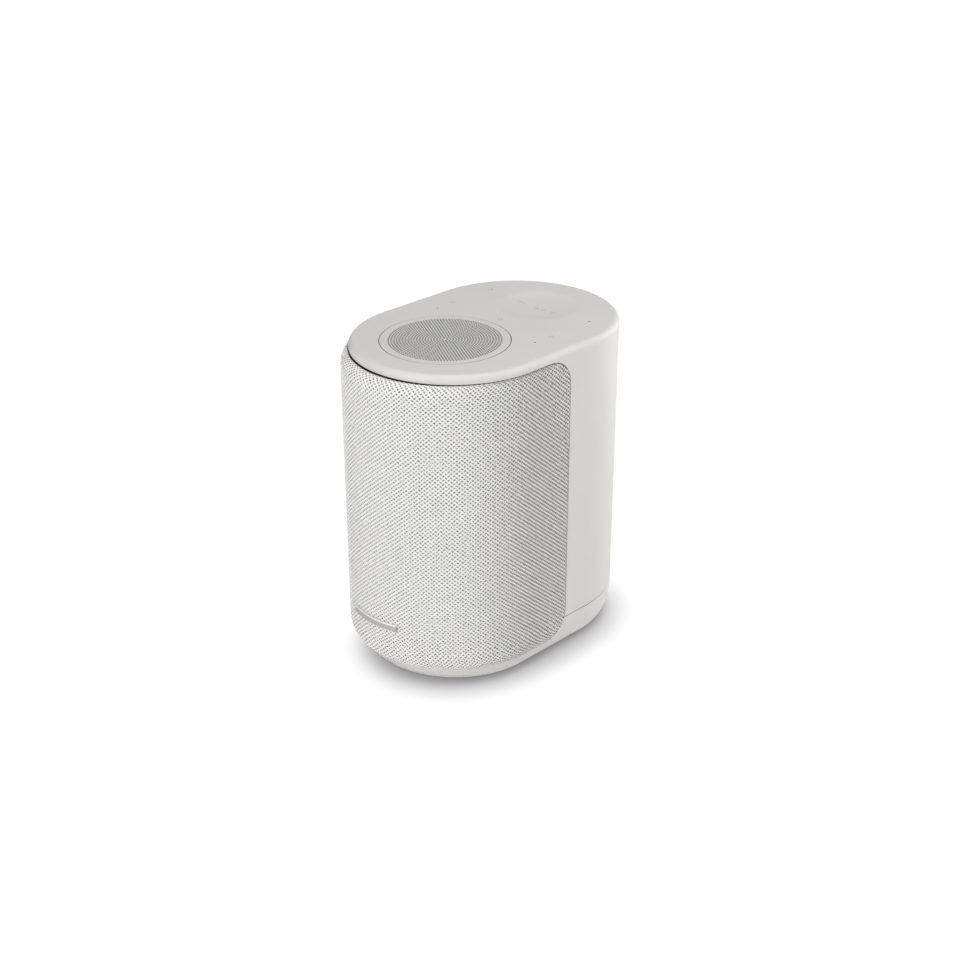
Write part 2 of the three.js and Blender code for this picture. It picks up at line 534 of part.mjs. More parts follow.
/** Round lead along a smooth route through hand-placed points. */
function lead(name, points, radius, material) {
  const route = new THREE.CatmullRomCurve3(points.map((point) => new THREE.Vector3(...point)));
  const section = new THREE.Shape().absarc(0, 0, radius, 0, 2 * Math.PI);
  const geometry = new THREE.ExtrudeGeometry(section, { steps: 16, extrudePath: route, curveSegments: 4 });
  add(name, solid(geometry), material);
}

function addWiring() {
  const toDrivers = [[20, 1, 40], [20, 8, 40], [20, 13.5, 44], [20, 15.5, 58], [20, 17.5, 68]];
  lead('driver_lead', toDrivers, 1.2, MATERIAL.rubber);
  const toMainBoard = [[-18, 54, 30.2], [-20, 54, 40], [-27, 46, 56], [-30, 32, 66], [-30, 23.9, 72]];
  lead('power_lead', toMainBoard, 1.5, MATERIAL.rubber);
  add('touch_ribbon', join(
    block([-7, 7], [51, 51.4], [165, 177.3]), block([-7, 7], [22, 51.4], [164.8, 165.2]),
    block([-7, 7], [22, 22.4], [160.5, 165.2])), MATERIAL.film);
}

addShell();
addBase();
addGrille();
addTop();
addWoofer();
addTweeter();
addUpwardDriver();
addPassiveRadiator('left', -1);
addPassiveRadiator('right', 1);
addEnclosure();
addElectronics();
addWiring();

export default speaker;
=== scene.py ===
"""Looks of an upright oval smart speaker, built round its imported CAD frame.

The casing is two off-white mouldings, the front is a woven grille, and the top holds a perforated
disc and a touch dish. Every size is in metres, and every place comes from the CAD frame.
"""

from __future__ import annotations

import json
import logging
import math
from bisect import bisect_left
from dataclasses import dataclass, field
from enum import Enum
from typing import Iterable, Sequence

import bmesh
import bpy
from bmesh.types import BMEdge, BMesh, BMFace, BMLayerItem, BMVert
from bpy.types import Material, NodeSocket, NodeTree, Object
from mathutils import Matrix, Vector

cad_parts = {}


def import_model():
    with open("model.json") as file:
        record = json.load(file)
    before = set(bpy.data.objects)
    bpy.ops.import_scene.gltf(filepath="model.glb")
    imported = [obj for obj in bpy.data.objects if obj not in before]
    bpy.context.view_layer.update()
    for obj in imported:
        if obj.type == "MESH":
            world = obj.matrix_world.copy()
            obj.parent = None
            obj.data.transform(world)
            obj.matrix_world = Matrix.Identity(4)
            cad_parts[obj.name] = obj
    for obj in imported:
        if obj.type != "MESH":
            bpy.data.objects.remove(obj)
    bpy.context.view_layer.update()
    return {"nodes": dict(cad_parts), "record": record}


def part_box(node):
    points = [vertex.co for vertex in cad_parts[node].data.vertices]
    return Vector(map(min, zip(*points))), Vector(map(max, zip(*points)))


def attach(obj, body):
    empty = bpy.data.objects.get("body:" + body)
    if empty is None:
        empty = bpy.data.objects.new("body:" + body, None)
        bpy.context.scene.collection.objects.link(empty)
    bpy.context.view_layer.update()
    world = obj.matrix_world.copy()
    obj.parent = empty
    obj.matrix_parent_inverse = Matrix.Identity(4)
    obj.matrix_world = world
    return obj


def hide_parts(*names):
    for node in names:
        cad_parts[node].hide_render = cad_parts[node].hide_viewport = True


LOG = logging.getLogger("speaker")
MM = 0.001
NEAR = 0.001 * MM  # points closer than this are one
CABINET = "cabinet"
SPIN_STEPS = 240  # facets round the body, 1.5 mm each, too small to show
DISC_FACETS = 160  # facets round the top disc and its opening
DISH_FACETS = 128
PINHOLE_FACETS = 20
GRILLE_CLEARANCE = 0.4 * MM  # between the cloth's zone and the casing round it

# A smooth range, and the colour sockets of a mix, for add_node.
SMOOTH = {"interpolation_type": "SMOOTHSTEP"}
COLOUR = {"output": 2, "data_type": "RGBA"}
MIX_A, MIX_B = 6, 7


# ------------------------------------------------------------------ colour and nodes
def linear(hex_colour: str) -> tuple[float, float, float, float]:
    """Turns an sRGB hex colour into the linear RGBA that a shader socket holds.

    Args:
        hex_colour: Six hex digits with a leading #.

    Returns:
        The linear colour with an alpha of 1.
    """
    channels = [int(hex_colour[i : i + 2], 16) / 255 for i in (1, 3, 5)]
    curve = [c / 12.92 if c <= 0.04045 else ((c + 0.055) / 1.055) ** 2.4 for c in channels]
    return (curve[0], curve[1], curve[2], 1.0)


def add_node(
    tree: NodeTree,
    kind: str,
    inputs: dict[str | int, object] | Sequence[object] = (),
    output: str | int = 0,
    **settings: object,
) -> NodeSocket | None:
    """Adds a shader node, sets its properties and fills or links its inputs.

    Args:
        tree: The node tree.
        kind: The node's type name, without its leading ShaderNode.
        inputs: Values or feeding sockets, by input name or index, or in the inputs' order.
        output: Name or index of the output that is wanted.
        settings: Properties of the node.

    Returns:
        The wanted output, or None where the node has no output.
    """
    node = tree.nodes.new(f"ShaderNode{kind}")
    for name, value in settings.items():
        setattr(node, name, value)
    pairs = inputs.items() if isinstance(inputs, dict) else enumerate(inputs)
    for name, value in pairs:
        if isinstance(value, NodeSocket):
            tree.links.new(value, node.inputs[name])
        else:
            node.inputs[name].default_value = value
    return node.outputs[output] if node.outputs else None


def blank_material(name: str) -> Material:
    """Returns a new material with an empty node tree."""
    made = bpy.data.materials.new(name)
    made.use_nodes = True
    made.node_tree.nodes.clear()
    return made


def end_surface(
    made: Material, inputs: dict[str | int, object], height: NodeSocket, depth: float
) -> Material:
    """Ends a material with a bump, one shader and the output.

    Args:
        made: The material.
        inputs: The shader's inputs, apart from its normal.
        height: The pattern that the bump follows, from 0 to about 1.
        depth: The pattern's depth in metres.

    Returns:
        The same material.
    """
    tree = made.node_tree
    bump = add_node(tree, "Bump", {"Height": height, "Strength": 1.0, "Distance": depth})
    shader = add_node(tree, "BsdfPrincipled", {**inputs, "Normal": bump})
    add_node(tree, "OutputMaterial", (shader,))
    return made


# ------------------------------------------------------------------ finishes
class Texture(Enum):
    """How a surface was made, which sets its pattern."""

    SPARKED = "spark-eroded mould"
    BRUSHED = "brushed or turned"
    WOUND = "wound wire"
    FOAMED = "open foam"
    SINTERED = "pressed and sintered"
    LAMINATED = "laminated board"


@dataclass(frozen=True)
class Finish:
    """A hard or rubbery surface: one shader with a fine pattern of its own.

    Attributes:
        name: The material's common name and how it was made.
        colour: sRGB hex colour.
        roughness: Middle roughness of the surface.
        texture: How it was made.
        grain_mm: Size of the pattern on the real piece.
        depth_mm: Depth of the pattern.
        metallic: 1 for bare metal.
        ior: Index of refraction of a non-metal.
        mottle: How far the colour wanders, as a share.
        wander_mm: Size of the patches that the colour wanders over.
        rough_spread: How far the roughness goes either way within the pattern.
    """

    name: str
    colour: str
    roughness: float
    texture: Texture
    grain_mm: float
    depth_mm: float
    metallic: float = 0.0
    ior: float = 1.5
    mottle: float = 0.03
    wander_mm: float = 28.0
    rough_spread: float = 0.05

    def material(self) -> Material:
        """Returns the finish's material, made once and shared."""
        return bpy.data.materials.get(self.name) or self._build()

    def _build(self) -> Material:
        """Builds the node tree: colour wander, roughness wander and a fine bump."""
        made = blank_material(self.name)
        tree = made.node_tree
        place = add_node(tree, "TexCoord", output="Object")
        pattern = self._pattern(tree, place)
        # A broad, barely visible wander, as moulding flow and handling leave on a real surface.
        patches = {"Vector": place, "Scale": 1 / (self.wander_mm * MM), "Detail": 3.0}
        broad = add_node(tree, "TexNoise", patches, "Fac")
        share = add_node(tree, "MapRange", (broad, 0.3, 0.7, 0.0, 1.0), **SMOOTH)
        shades = {0: share, MIX_A: self._shade(-self.mottle), MIX_B: self._shade(self.mottle)}
        tint = add_node(tree, "Mix", shades, **COLOUR)
        low, high = self.roughness - self.rough_spread, self.roughness + self.rough_spread
        rough = add_node(tree, "MapRange", (pattern, 0.0, 1.0, low, high))
        inputs = {
            "Base Color": tint, "Roughness": rough, "Metallic": self.metallic, "IOR": self.ior,
        }
        return end_surface(made, inputs, pattern, self.depth_mm * MM)

    def _shade(self, change: float) -> tuple[float, float, float, float]:
        """Returns the linear colour, lighter or darker by a share."""
        red, green, blue = (min(c * (1 + change), 1.0) for c in linear(self.colour)[:3])
        return (red, green, blue, 1.0)

    def _pattern(self, tree: NodeTree, place: NodeSocket) -> NodeSocket:
        """Returns the height pattern that the way of making leaves.

        Args:
            tree: The material's node tree.
            place: The Object coordinates.

        Returns:
            A socket from 0 to 1.
        """
        scale = 1 / (self.grain_mm * MM)
        noise = {"Vector": place, "Scale": scale, "Detail": 1.5}
        if self.texture is Texture.WOUND:
            turns = {"Vector": place, "Scale": scale / 2, "Distortion": 0.4}
            return add_node(tree, "TexWave", turns, "Fac", wave_type="RINGS")
        if self.texture is Texture.FOAMED:
            return add_node(tree, "TexVoronoi", {"Vector": place, "Scale": scale}, "Distance")
        if self.texture is Texture.LAMINATED:
            plies = {"Vector": place, "Scale": scale / 4, "Mortar Size": 0.03}
            return add_node(tree, "TexBrick", plies, "Fac")
        if self.texture is Texture.BRUSHED:
            # The strokes run up and down, 25 times as long as they are wide.
            strokes = {"Vector": place, "Scale": (1.0, 1.0, 0.04)}
            noise.update({"Vector": add_node(tree, "Mapping", strokes), "Detail": 2.0})
        if self.texture is Texture.SINTERED:
            noise["Detail"] = 4.0
        return add_node(tree, "TexNoise", noise, "Fac")


@dataclass(frozen=True)
class WovenGrille:
    """Off-white acoustic cloth: stout matte yarns, plain-woven on the diagonal with open pores.

    Attributes:
        name: The material's name.
        yarn: sRGB colour of the yarn where it rises.
        shade: sRGB colour of painted shade on the yarn where it dips under another.
        pore: sRGB colour of the dark behind a pore.
        columns: Lattice cells across the cloth's width.
        rows: Lattice cells up the cloth's height.
        relief_mm: Height of the yarns' relief.
        pore_size: Weave height below which a pinched pore and a gaping pore are open.
        crossing: Share that a yarn rises where it rides over another, and dips where it goes under.
        shaded_sides: Where the painted shade over the flat sides begins and is full, as shares of
            the width from the middle.
        shade_gape: How much wider the pores are over the flat sides, part of that painted shade.
        shade_dim: How much darker the yarns are painted there.
    """

    name: str
    yarn: str
    shade: str
    pore: str
    columns: int
    rows: int
    relief_mm: float = 0.5
    pore_size: tuple[float, float] = (0.44, 0.62)
    crossing: float = 0.28
    shaded_sides: tuple[float, float] = (0.2, 0.40)
    shade_gape: float = 0.36
    shade_dim: float = 0.14

    def material(self) -> Material:
        """Builds the cloth's node tree on its own UV map.

        Returns:
            The material.
        """
        made = blank_material(self.name)
        tree = made.node_tree
        weave = add_node(tree, "UVMap", uv_map="weave")
        size = (float(self.columns), float(self.rows), 1.0)
        cells = add_node(tree, "Mapping", {"Vector": weave, "Scale": size})
        # The yarns wander by up to a seventh of a cell, so the pores are not in perfect file.
        wander = {"Vector": cells, "Scale": 0.8, "Detail": 1.0}
        drift = add_node(
            tree,
            "VectorMath",
            (add_node(tree, "TexNoise", wander, "Color"), (0.5, 0.5, 0.5)),
            operation="SUBTRACT",
        )
        moved = add_node(
            tree, "VectorMath", (drift, (0.5, 0.5, 0.0), cells), operation="MULTIPLY_ADD"
        )
        height = self._plain_weave(tree, moved)
        # Painted shade: over the flat sides the pores gape and the yarns dim, as grazing light
        # leaves them.
        shaded_sides = self._shaded_sides_mask(tree, weave)
        pore = self._pore_height(tree, cells, shaded_sides)
        # Painted shade in the weave: the yarn's colour darkens where it dips under another.
        rise = add_node(tree, "MapRange", (height, 0.5, 1.15, 0.0, 1.0), **SMOOTH)
        shades = {0: rise, MIX_A: linear(self.shade), MIX_B: linear(self.yarn)}
        yarn = add_node(tree, "Mix", shades, **COLOUR)
        # Painted shade on the flat sides: the yarns dim towards the pore's dark.
        dim = add_node(tree, "Math", (shaded_sides, self.shade_dim), operation="MULTIPLY")
        yarn = add_node(tree, "Mix", {0: dim, MIX_A: yarn, MIX_B: linear(self.pore)}, **COLOUR)
        share = add_node(tree, "Math", (height, pore), operation="DIVIDE")
        solid = add_node(tree, "MapRange", (share, 0.8, 1.35, 0.0, 1.0), **SMOOTH)
        colour = add_node(tree, "Mix", {0: solid, MIX_A: linear(self.pore), MIX_B: yarn}, **COLOUR)
        inputs = {"Base Color": colour, "Roughness": 0.9, "IOR": 1.45, "Specular IOR Level": 0.25}
        return end_surface(made, inputs, height, self.relief_mm * MM)

    def _shaded_sides_mask(self, tree: NodeTree, weave: NodeSocket) -> NodeSocket:
        """Returns 1 over the flat sides, which get painted shade, or 0."""
        across = add_node(tree, "SeparateXYZ", (weave,), "X")
        aside = add_node(tree, "Math", (across, 0.5), operation="SUBTRACT")
        distance = add_node(tree, "Math", (aside,), operation="ABSOLUTE")
        return add_node(tree, "MapRange", (distance, *self.shaded_sides, 0.0, 1.0), **SMOOTH)

    def _pore_height(self, tree: NodeTree, cells: NodeSocket, shaded_sides: NodeSocket) -> NodeSocket:
        """Returns the weave height below which the cloth is open.

        Args:
            tree: The material's node tree.
            cells: Lattice coordinates.
            shaded_sides: 1 over the flat sides, where painted shade makes the pores gape.

        Returns:
            The height's socket.
        """
        # Some pores are pinched nearly shut and others gape.
        uneven = add_node(tree, "TexNoise", {"Vector": cells, "Scale": 0.6, "Detail": 2.0}, "Fac")
        pore = add_node(tree, "MapRange", (uneven, 0.3, 0.7, *self.pore_size), **SMOOTH)
        # Painted shade: the pores gape wider over the flat sides.
        gape = add_node(tree, "Math", (shaded_sides, self.shade_gape, 1.0), operation="MULTIPLY_ADD")
        return add_node(tree, "Math", (pore, gape), operation="MULTIPLY")

    def _plain_weave(self, tree: NodeTree, cells: NodeSocket) -> NodeSocket:
        """Returns the weave's height: 0 in a pore, 1 on a yarn and more where it rides over.

        Args:
            tree: The material's node tree.
            cells: Lattice coordinates with a pore at each even sum.

        Returns:
            The height's socket.
        """
        x = add_node(tree, "SeparateXYZ", (cells,), "X")
        y = x.node.outputs["Y"]
        over = x
        for operation, value in (
            ("MULTIPLY", math.pi), ("COSINE", 0.0), ("MULTIPLY", self.crossing),
        ):
            over = add_node(tree, "Math", (over, value), operation=operation)
        # Two sets of yarns cross on the diagonals, each with a rounded top.
        yarns = []
        for slant, sign in (("SUBTRACT", 1.0), ("ADD", -1.0)):
            top = add_node(tree, "Math", (x, y), operation=slant)
            for operation, value in (
                ("MULTIPLY", math.pi / 2), ("SINE", 0.0), ("ABSOLUTE", 0.0), ("POWER", 0.8),
            ):
                top = add_node(tree, "Math", (top, value), operation=operation)
            ride = add_node(tree, "Math", (over, sign, 1.0), operation="MULTIPLY_ADD")
            yarns.append(add_node(tree, "Math", (top, ride), operation="MULTIPLY"))
        return add_node(tree, "Math", yarns, operation="MAXIMUM")


# The casing is an ABS moulding with a spark-eroded skin: soft satin with no gloss.
CASING = Finish(
    "abs_off_white_moulded", "#dad9d6", 0.46, Texture.SPARKED, 0.35, 0.012, mottle=0.008
)
# The disc is punched steel painted to match the casing, slightly smoother.
DISC = Finish(
    "steel_off_white_painted", "#d9d8d5", 0.42, Texture.SPARKED, 0.5, 0.008, mottle=0.008
)
# The symbols are matte ink a shade darker than the casing, so they are only just seen.
PRINT = Finish("ink_pale_grey_printed", "#c4c3c0", 0.6, Texture.SPARKED, 0.3, 0.004)
# The scrim is a black knit that swallows light, so every hole over it reads dark.
SCRIM = Finish("polyester_black_scrim", "#202021", 0.95, Texture.FOAMED, 0.25, 0.03)
# The badge is a die-cast bar in silver paint with metal flake: a soft grey with little gloss.
BADGE = Finish("zinc_silver_painted", "#bcbbb7", 0.42, Texture.SPARKED, 0.2, 0.01, metallic=0.4)
# Its upward faces are painted pale, a painted highlight that draws a light line along the bar's
# upper edge.
BADGE_HIGHLIGHT = Finish("zinc_painted_highlight", "#f4f3f0", 0.3, Texture.SPARKED, 0.2, 0.004)

SLOT_FINISHES: dict[str, Finish] = {
    "shell": CASING,
    "disc": DISC,
    "badge": BADGE,
    # Soft backing, satin black plastic, matte rubber and open foam.
    "cloth": Finish("polyester_off_white_backing", "#cfcdc8", 0.9, Texture.FOAMED, 1.2, 0.2),
    "black_plastic": Finish("abs_black_moulded", "#1c1c1e", 0.55, Texture.SPARKED, 0.4, 0.02),
    "rubber": Finish(
        "rubber_dark_grey_moulded", "#2b2b2c", 0.8, Texture.SPARKED, 0.6, 0.03, ior=1.52
    ),
    "foam": Finish("polyurethane_foam_cut", "#3a3a3c", 0.95, Texture.FOAMED, 0.8, 0.2),
    # A dull pressed cone, a soft doped dome and an amber pleated cotton spider.
    "cone": Finish("polypropylene_cone_pressed", "#2d2c2b", 0.7, Texture.SINTERED, 1.5, 0.05),
    "dome": Finish("silk_dome_doped", "#333333", 0.75, Texture.FOAMED, 0.4, 0.04),
    "spider": Finish("cotton_spider_treated", "#c58a3a", 0.85, Texture.FOAMED, 0.6, 0.1),
    # A glossy amber film, a green masked board, a tight black sleeve and a milky lens.
    "film": Finish("polyimide_film_rolled", "#c58a3a", 0.3, Texture.SPARKED, 2.0, 0.01, ior=1.7),
    "board": Finish("glass_epoxy_solder_masked", "#1f5a3a", 0.35, Texture.LAMINATED, 1.2, 0.03),
    "capacitor": Finish("pet_sleeve_shrunk", "#1a1a1e", 0.3, Texture.SPARKED, 1.0, 0.01),
    "lens": Finish("acrylic_milky_moulded", "#f2f2f0", 0.2, Texture.SPARKED, 1.0, 0.004, ior=1.49),
    # Brushed bright metals, fine turns of copper and a dark grainy magnet.
    "steel": Finish(
        "steel_zinc_plated", "#a9abad", 0.35, Texture.BRUSHED, 0.3, 0.01, metallic=1.0
    ),
    "aluminium": Finish(
        "aluminium_extruded", "#b9bbbe", 0.4, Texture.BRUSHED, 0.3, 0.02, metallic=1.0
    ),
    "copper": Finish(
        "copper_enamelled_wound", "#b06c3c", 0.3, Texture.WOUND, 0.25, 0.1, metallic=1.0
    ),
    "magnet": Finish("ferrite_sintered", "#4b4a4a", 0.6, Texture.SINTERED, 0.5, 0.04),
}


# ------------------------------------------------------------------ mesh bench
def circle(bm: BMesh, radius: float, centre: Vector, segments: int) -> list[BMEdge]:
    """Adds an open circle flat in XY and returns its edges."""
    made = bmesh.ops.create_circle(
        bm, cap_ends=False, segments=segments, radius=radius, matrix=Matrix.Translation(centre)
    )
    return list(dict.fromkeys(edge for vert in made["verts"] for edge in vert.link_edges))


def add_plug(bm: BMesh, place: Matrix, radius: float, depth: float, segments: int) -> None:
    """Adds a closed round plug, upright in its own place."""
    bmesh.ops.create_cone(
        bm, cap_ends=True, segments=segments, radius1=radius, radius2=radius, depth=depth,
        matrix=place,
    )


def add_block(bm: BMesh, centre: Vector, size: tuple[float, float, float]) -> None:
    """Adds a closed block, square to the frame."""
    place = Matrix.Translation(centre) @ Matrix.Diagonal((*size, 1))
    bmesh.ops.create_cube(bm, size=1, matrix=place)


def reaches(edge: BMEdge, axis: int, least: float) -> bool:
    """Says whether an edge runs further than a length along an axis."""
    return abs(edge.verts[0].co[axis] - edge.verts[1].co[axis]) > least


def round_edges(bm: BMesh, edges: Sequence[BMEdge], offset: float, segments: int) -> None:
    """Bevels edges round."""
    bmesh.ops.bevel(
        bm, geom=edges, offset=offset, segments=segments, profile=0.5, affect="EDGES", material=-1
    )


def add_backing(bm: BMesh, faces: Sequence[BMFace]) -> tuple[list[BMVert], list[BMFace]]:
    """Copies a sheet's faces and joins the copy to the sheet by a wall along its edges.

    Args:
        bm: The mesh.
        faces: The sheet's faces, which stay where they are.

    Returns:
        The copy's vertices and the new faces.
    """
    made = bmesh.ops.extrude_face_region(bm, geom=faces, use_keep_orig=True)["geom"]
    verts = [item for item in made if isinstance(item, BMVert)]
    return verts, [item for item in made if isinstance(item, BMFace)]


def draw_ring(
    bm: BMesh, edges: Sequence[BMEdge], centre: Vector, stations: Iterable[tuple[float, float]]
) -> list[BMEdge]:
    """Carries a circle of edges through new radii and heights, as turning or pressing would.

    Args:
        bm: The mesh.
        edges: The circle's edges.
        centre: The circle's centre, at its present height.
        stations: Radius and height of each next ring.

    Returns:
        The last ring's edges.
    """
    height = centre.z
    radius = (edges[0].verts[0].co - centre).xy.length
    origin = Matrix.Translation((-centre.x, -centre.y, 0))
    ring = list(edges)
    for next_radius, next_height in stations:
        made = bmesh.ops.extrude_edge_only(bm, edges=ring)["geom"]
        verts = [item for item in made if isinstance(item, BMVert)]
        fresh = set(verts)
        ring = [item for item in made if isinstance(item, BMEdge) and fresh.issuperset(item.verts)]
        ratio = next_radius / radius
        bmesh.ops.scale(bm, vec=(ratio, ratio, 1), space=origin, verts=verts)
        bmesh.ops.translate(bm, vec=(0, 0, next_height - height), verts=verts)
        radius, height = next_radius, next_height
    return ring


def fill_flat(bm: BMesh, edges: Sequence[BMEdge]) -> None:
    """Fills the flat region between closed loops of edges."""
    bmesh.ops.triangle_fill(
        bm, use_beauty=True, use_dissolve=False, edges=edges, normal=(0, 0, 1)
    )


def tidy_normals(bm: BMesh) -> None:
    """Merges doubles and turns every face outwards."""
    bmesh.ops.remove_doubles(bm, verts=bm.verts[:], dist=NEAR)
    bmesh.ops.recalc_face_normals(bm, faces=bm.faces[:])


def quarter(
    corner: tuple[float, float], across: float, up: float, start: float, steps: int
) -> list[tuple[float, float]]:
    """Points of a quarter ellipse about a corner, as (radius, height).

    Args:
        corner: The ellipse's centre.
        across: Semi-axis along the radius.
        up: Semi-axis along the height.
        start: Starting angle in degrees from the outward direction.
        steps: Facets in the quarter.

    Returns:
        The points, both ends included.
    """
    angles = [math.radians(start + 90 * step / steps) for step in range(steps + 1)]
    return [(corner[0] + across * math.cos(a), corner[1] + up * math.sin(a)) for a in angles]


def rim(bm: BMesh, z: float) -> list[BMEdge]:
    """Returns the open edges that lie at a height."""
    return [
        edge for edge in bm.edges
        if edge.is_boundary and all(abs(vert.co.z - z) < NEAR for vert in edge.verts)
    ]


@dataclass(frozen=True)
class Plan:
    """The body's oval footprint, read from the CAD shell.

    Attributes:
        centre_y: Middle of the plain oval.
        radius: Radius of both round ends.
        offset: Distance of each end's centre from the middle.
        top: Height of the top face.
    """

    centre_y: float
    radius: float
    offset: float
    top: float

    @classmethod
    def from_frame(cls) -> "Plan":
        """Returns the plan that the CAD shell has."""
        low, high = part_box("top_back_shell")
        radius = (high.x - low.x) / 2
        return cls((low.y + high.y) / 2, radius, (high.y - low.y) / 2 - radius, high.z)

    def point(self, x: float, y: float, z: float = 0.0) -> Vector:
        """Returns a point given from the middle of the oval."""
        return Vector((x, y + self.centre_y, z))

    def spin(self, bm: BMesh, profile: Sequence[tuple[float, float]]) -> None:
        """Spins a profile round Z and draws the two halves apart into the oval.

        Args:
            bm: The mesh that the surface is added to.
            profile: (radius, height) points, from one open end to the other.
        """
        half = math.pi / SPIN_STEPS
        verts = [bm.verts.new((r * math.cos(half), r * math.sin(half), z)) for r, z in profile]
        edges = [bm.edges.new(pair) for pair in zip(verts, verts[1:])]
        bmesh.ops.spin(
            bm, geom=verts + edges, cent=(0, 0, 0), axis=(0, 0, 1), angle=2 * math.pi,
            steps=SPIN_STEPS, use_merge=True,
        )
        for side in (1, -1):
            moved = [vert for vert in bm.verts if vert.co.y * side > 0]
            bmesh.ops.translate(bm, vec=(0, side * self.offset, 0), verts=moved)
        bmesh.ops.translate(bm, vec=(0, self.centre_y, 0), verts=bm.verts[:])


@dataclass(frozen=True)
class GrilleZone:
    """The region that the grille covers, seen from the side.

    Attributes:
        low: Lower edge's height.
        high: Upper edge's height.
        rear: Rear edge's place along Y.
        corner: Radius of the two rear corners.
        corner_planes: Flat cuts that round one corner of the open cloth.
    """

    low: float
    high: float
    rear: float
    corner: float = 15 * MM
    corner_planes: int = 11

    @classmethod
    def from_frame(cls) -> "GrilleZone":
        """Returns the zone that the CAD cloth covers."""
        low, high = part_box("grille_fabric")
        return cls(low.z, high.z, high.y)

    def cutter(self, grow: float, reach: float = 0.2) -> BMesh:
        """Returns a closed block of the zone, grown by a clearance, as wide as reach each way.

        Args:
            grow: Clearance added all round.
            reach: Half width along X, and half length along Y.

        Returns:
            The block.
        """
        bm = bmesh.new()
        back = self.rear + grow
        height = self.high - self.low + 2 * grow
        centre = Vector((0, back - reach, (self.low + self.high) / 2))
        add_block(bm, centre, (2 * reach, 2 * reach, height))
        edges = [
            edge for edge in bm.edges
            if all(abs(vert.co.y - back) < 0.01 * MM for vert in edge.verts)
            and reaches(edge, 0, reach)
        ]
        round_edges(bm, edges, self.corner + grow, 24)
        return bm

    def trim(self, bm: BMesh) -> None:
        """Rounds the two rear corners of an open sheet with planes that touch each arc."""
        for sign, level in ((1, self.high - self.corner), (-1, self.low + self.corner)):
            centre = Vector((0, self.rear - self.corner, level))
            for plane in range(self.corner_planes):
                angle = math.pi / 2 * (plane + 1) / (self.corner_planes + 1)
                out = Vector((0, math.cos(angle), sign * math.sin(angle)))
                bmesh.ops.bisect_plane(
                    bm, geom=[*bm.verts, *bm.edges, *bm.faces], dist=NEAR,
                    plane_co=centre + out * self.corner, plane_no=out, clear_outer=True,
                )


def to_object(bm: BMesh, name: str) -> Object:
    """Turns a bmesh into a scene object and frees the bmesh."""
    mesh = bpy.data.meshes.new(name)
    bm.to_mesh(mesh)
    bm.free()
    made = bpy.data.objects.new(name, mesh)
    bpy.context.scene.collection.objects.link(made)
    return made


def carve(target: Object, cutters: Sequence[BMesh]) -> None:
    """Cuts closed meshes out of an object and leaves plain mesh data.

    Args:
        target: The object that is cut.
        cutters: The closed meshes, which are used up.
    """
    for index, cutter in enumerate(cutters):
        tool = to_object(cutter, f"{target.name}_cutter_{index}")
        modifier = target.modifiers.new("carve", "BOOLEAN")
        modifier.operation = "DIFFERENCE"
        modifier.solver = "EXACT"
        modifier.object = tool
        evaluated = target.evaluated_get(bpy.context.evaluated_depsgraph_get())
        carved = bpy.data.meshes.new_from_object(evaluated)
        target.modifiers.clear()
        target.data = carved
        bpy.data.objects.remove(tool)


def settle(
    piece: Object,
    material: Material,
    replaced: Sequence[str] = (),
    sharp_degrees: float = 32,
) -> Object:
    """Shades a finished piece, gives it its material and ties it to the cabinet.

    Args:
        piece: The finished object.
        material: Its material.
        replaced: CAD nodes that it stands for.
        sharp_degrees: Edges steeper than this stay crisp.

    Returns:
        The same object.
    """
    piece.data.polygons.foreach_set("use_smooth", [True] * len(piece.data.polygons))
    piece.data.set_sharp_from_angle(angle=math.radians(sharp_degrees))
    piece.data.materials.clear()
    piece.data.materials.append(material)
    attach(piece, CABINET)
    if replaced:
        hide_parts(*replaced)
    LOG.info("%s: %d faces", piece.name, len(piece.data.polygons))
    return piece


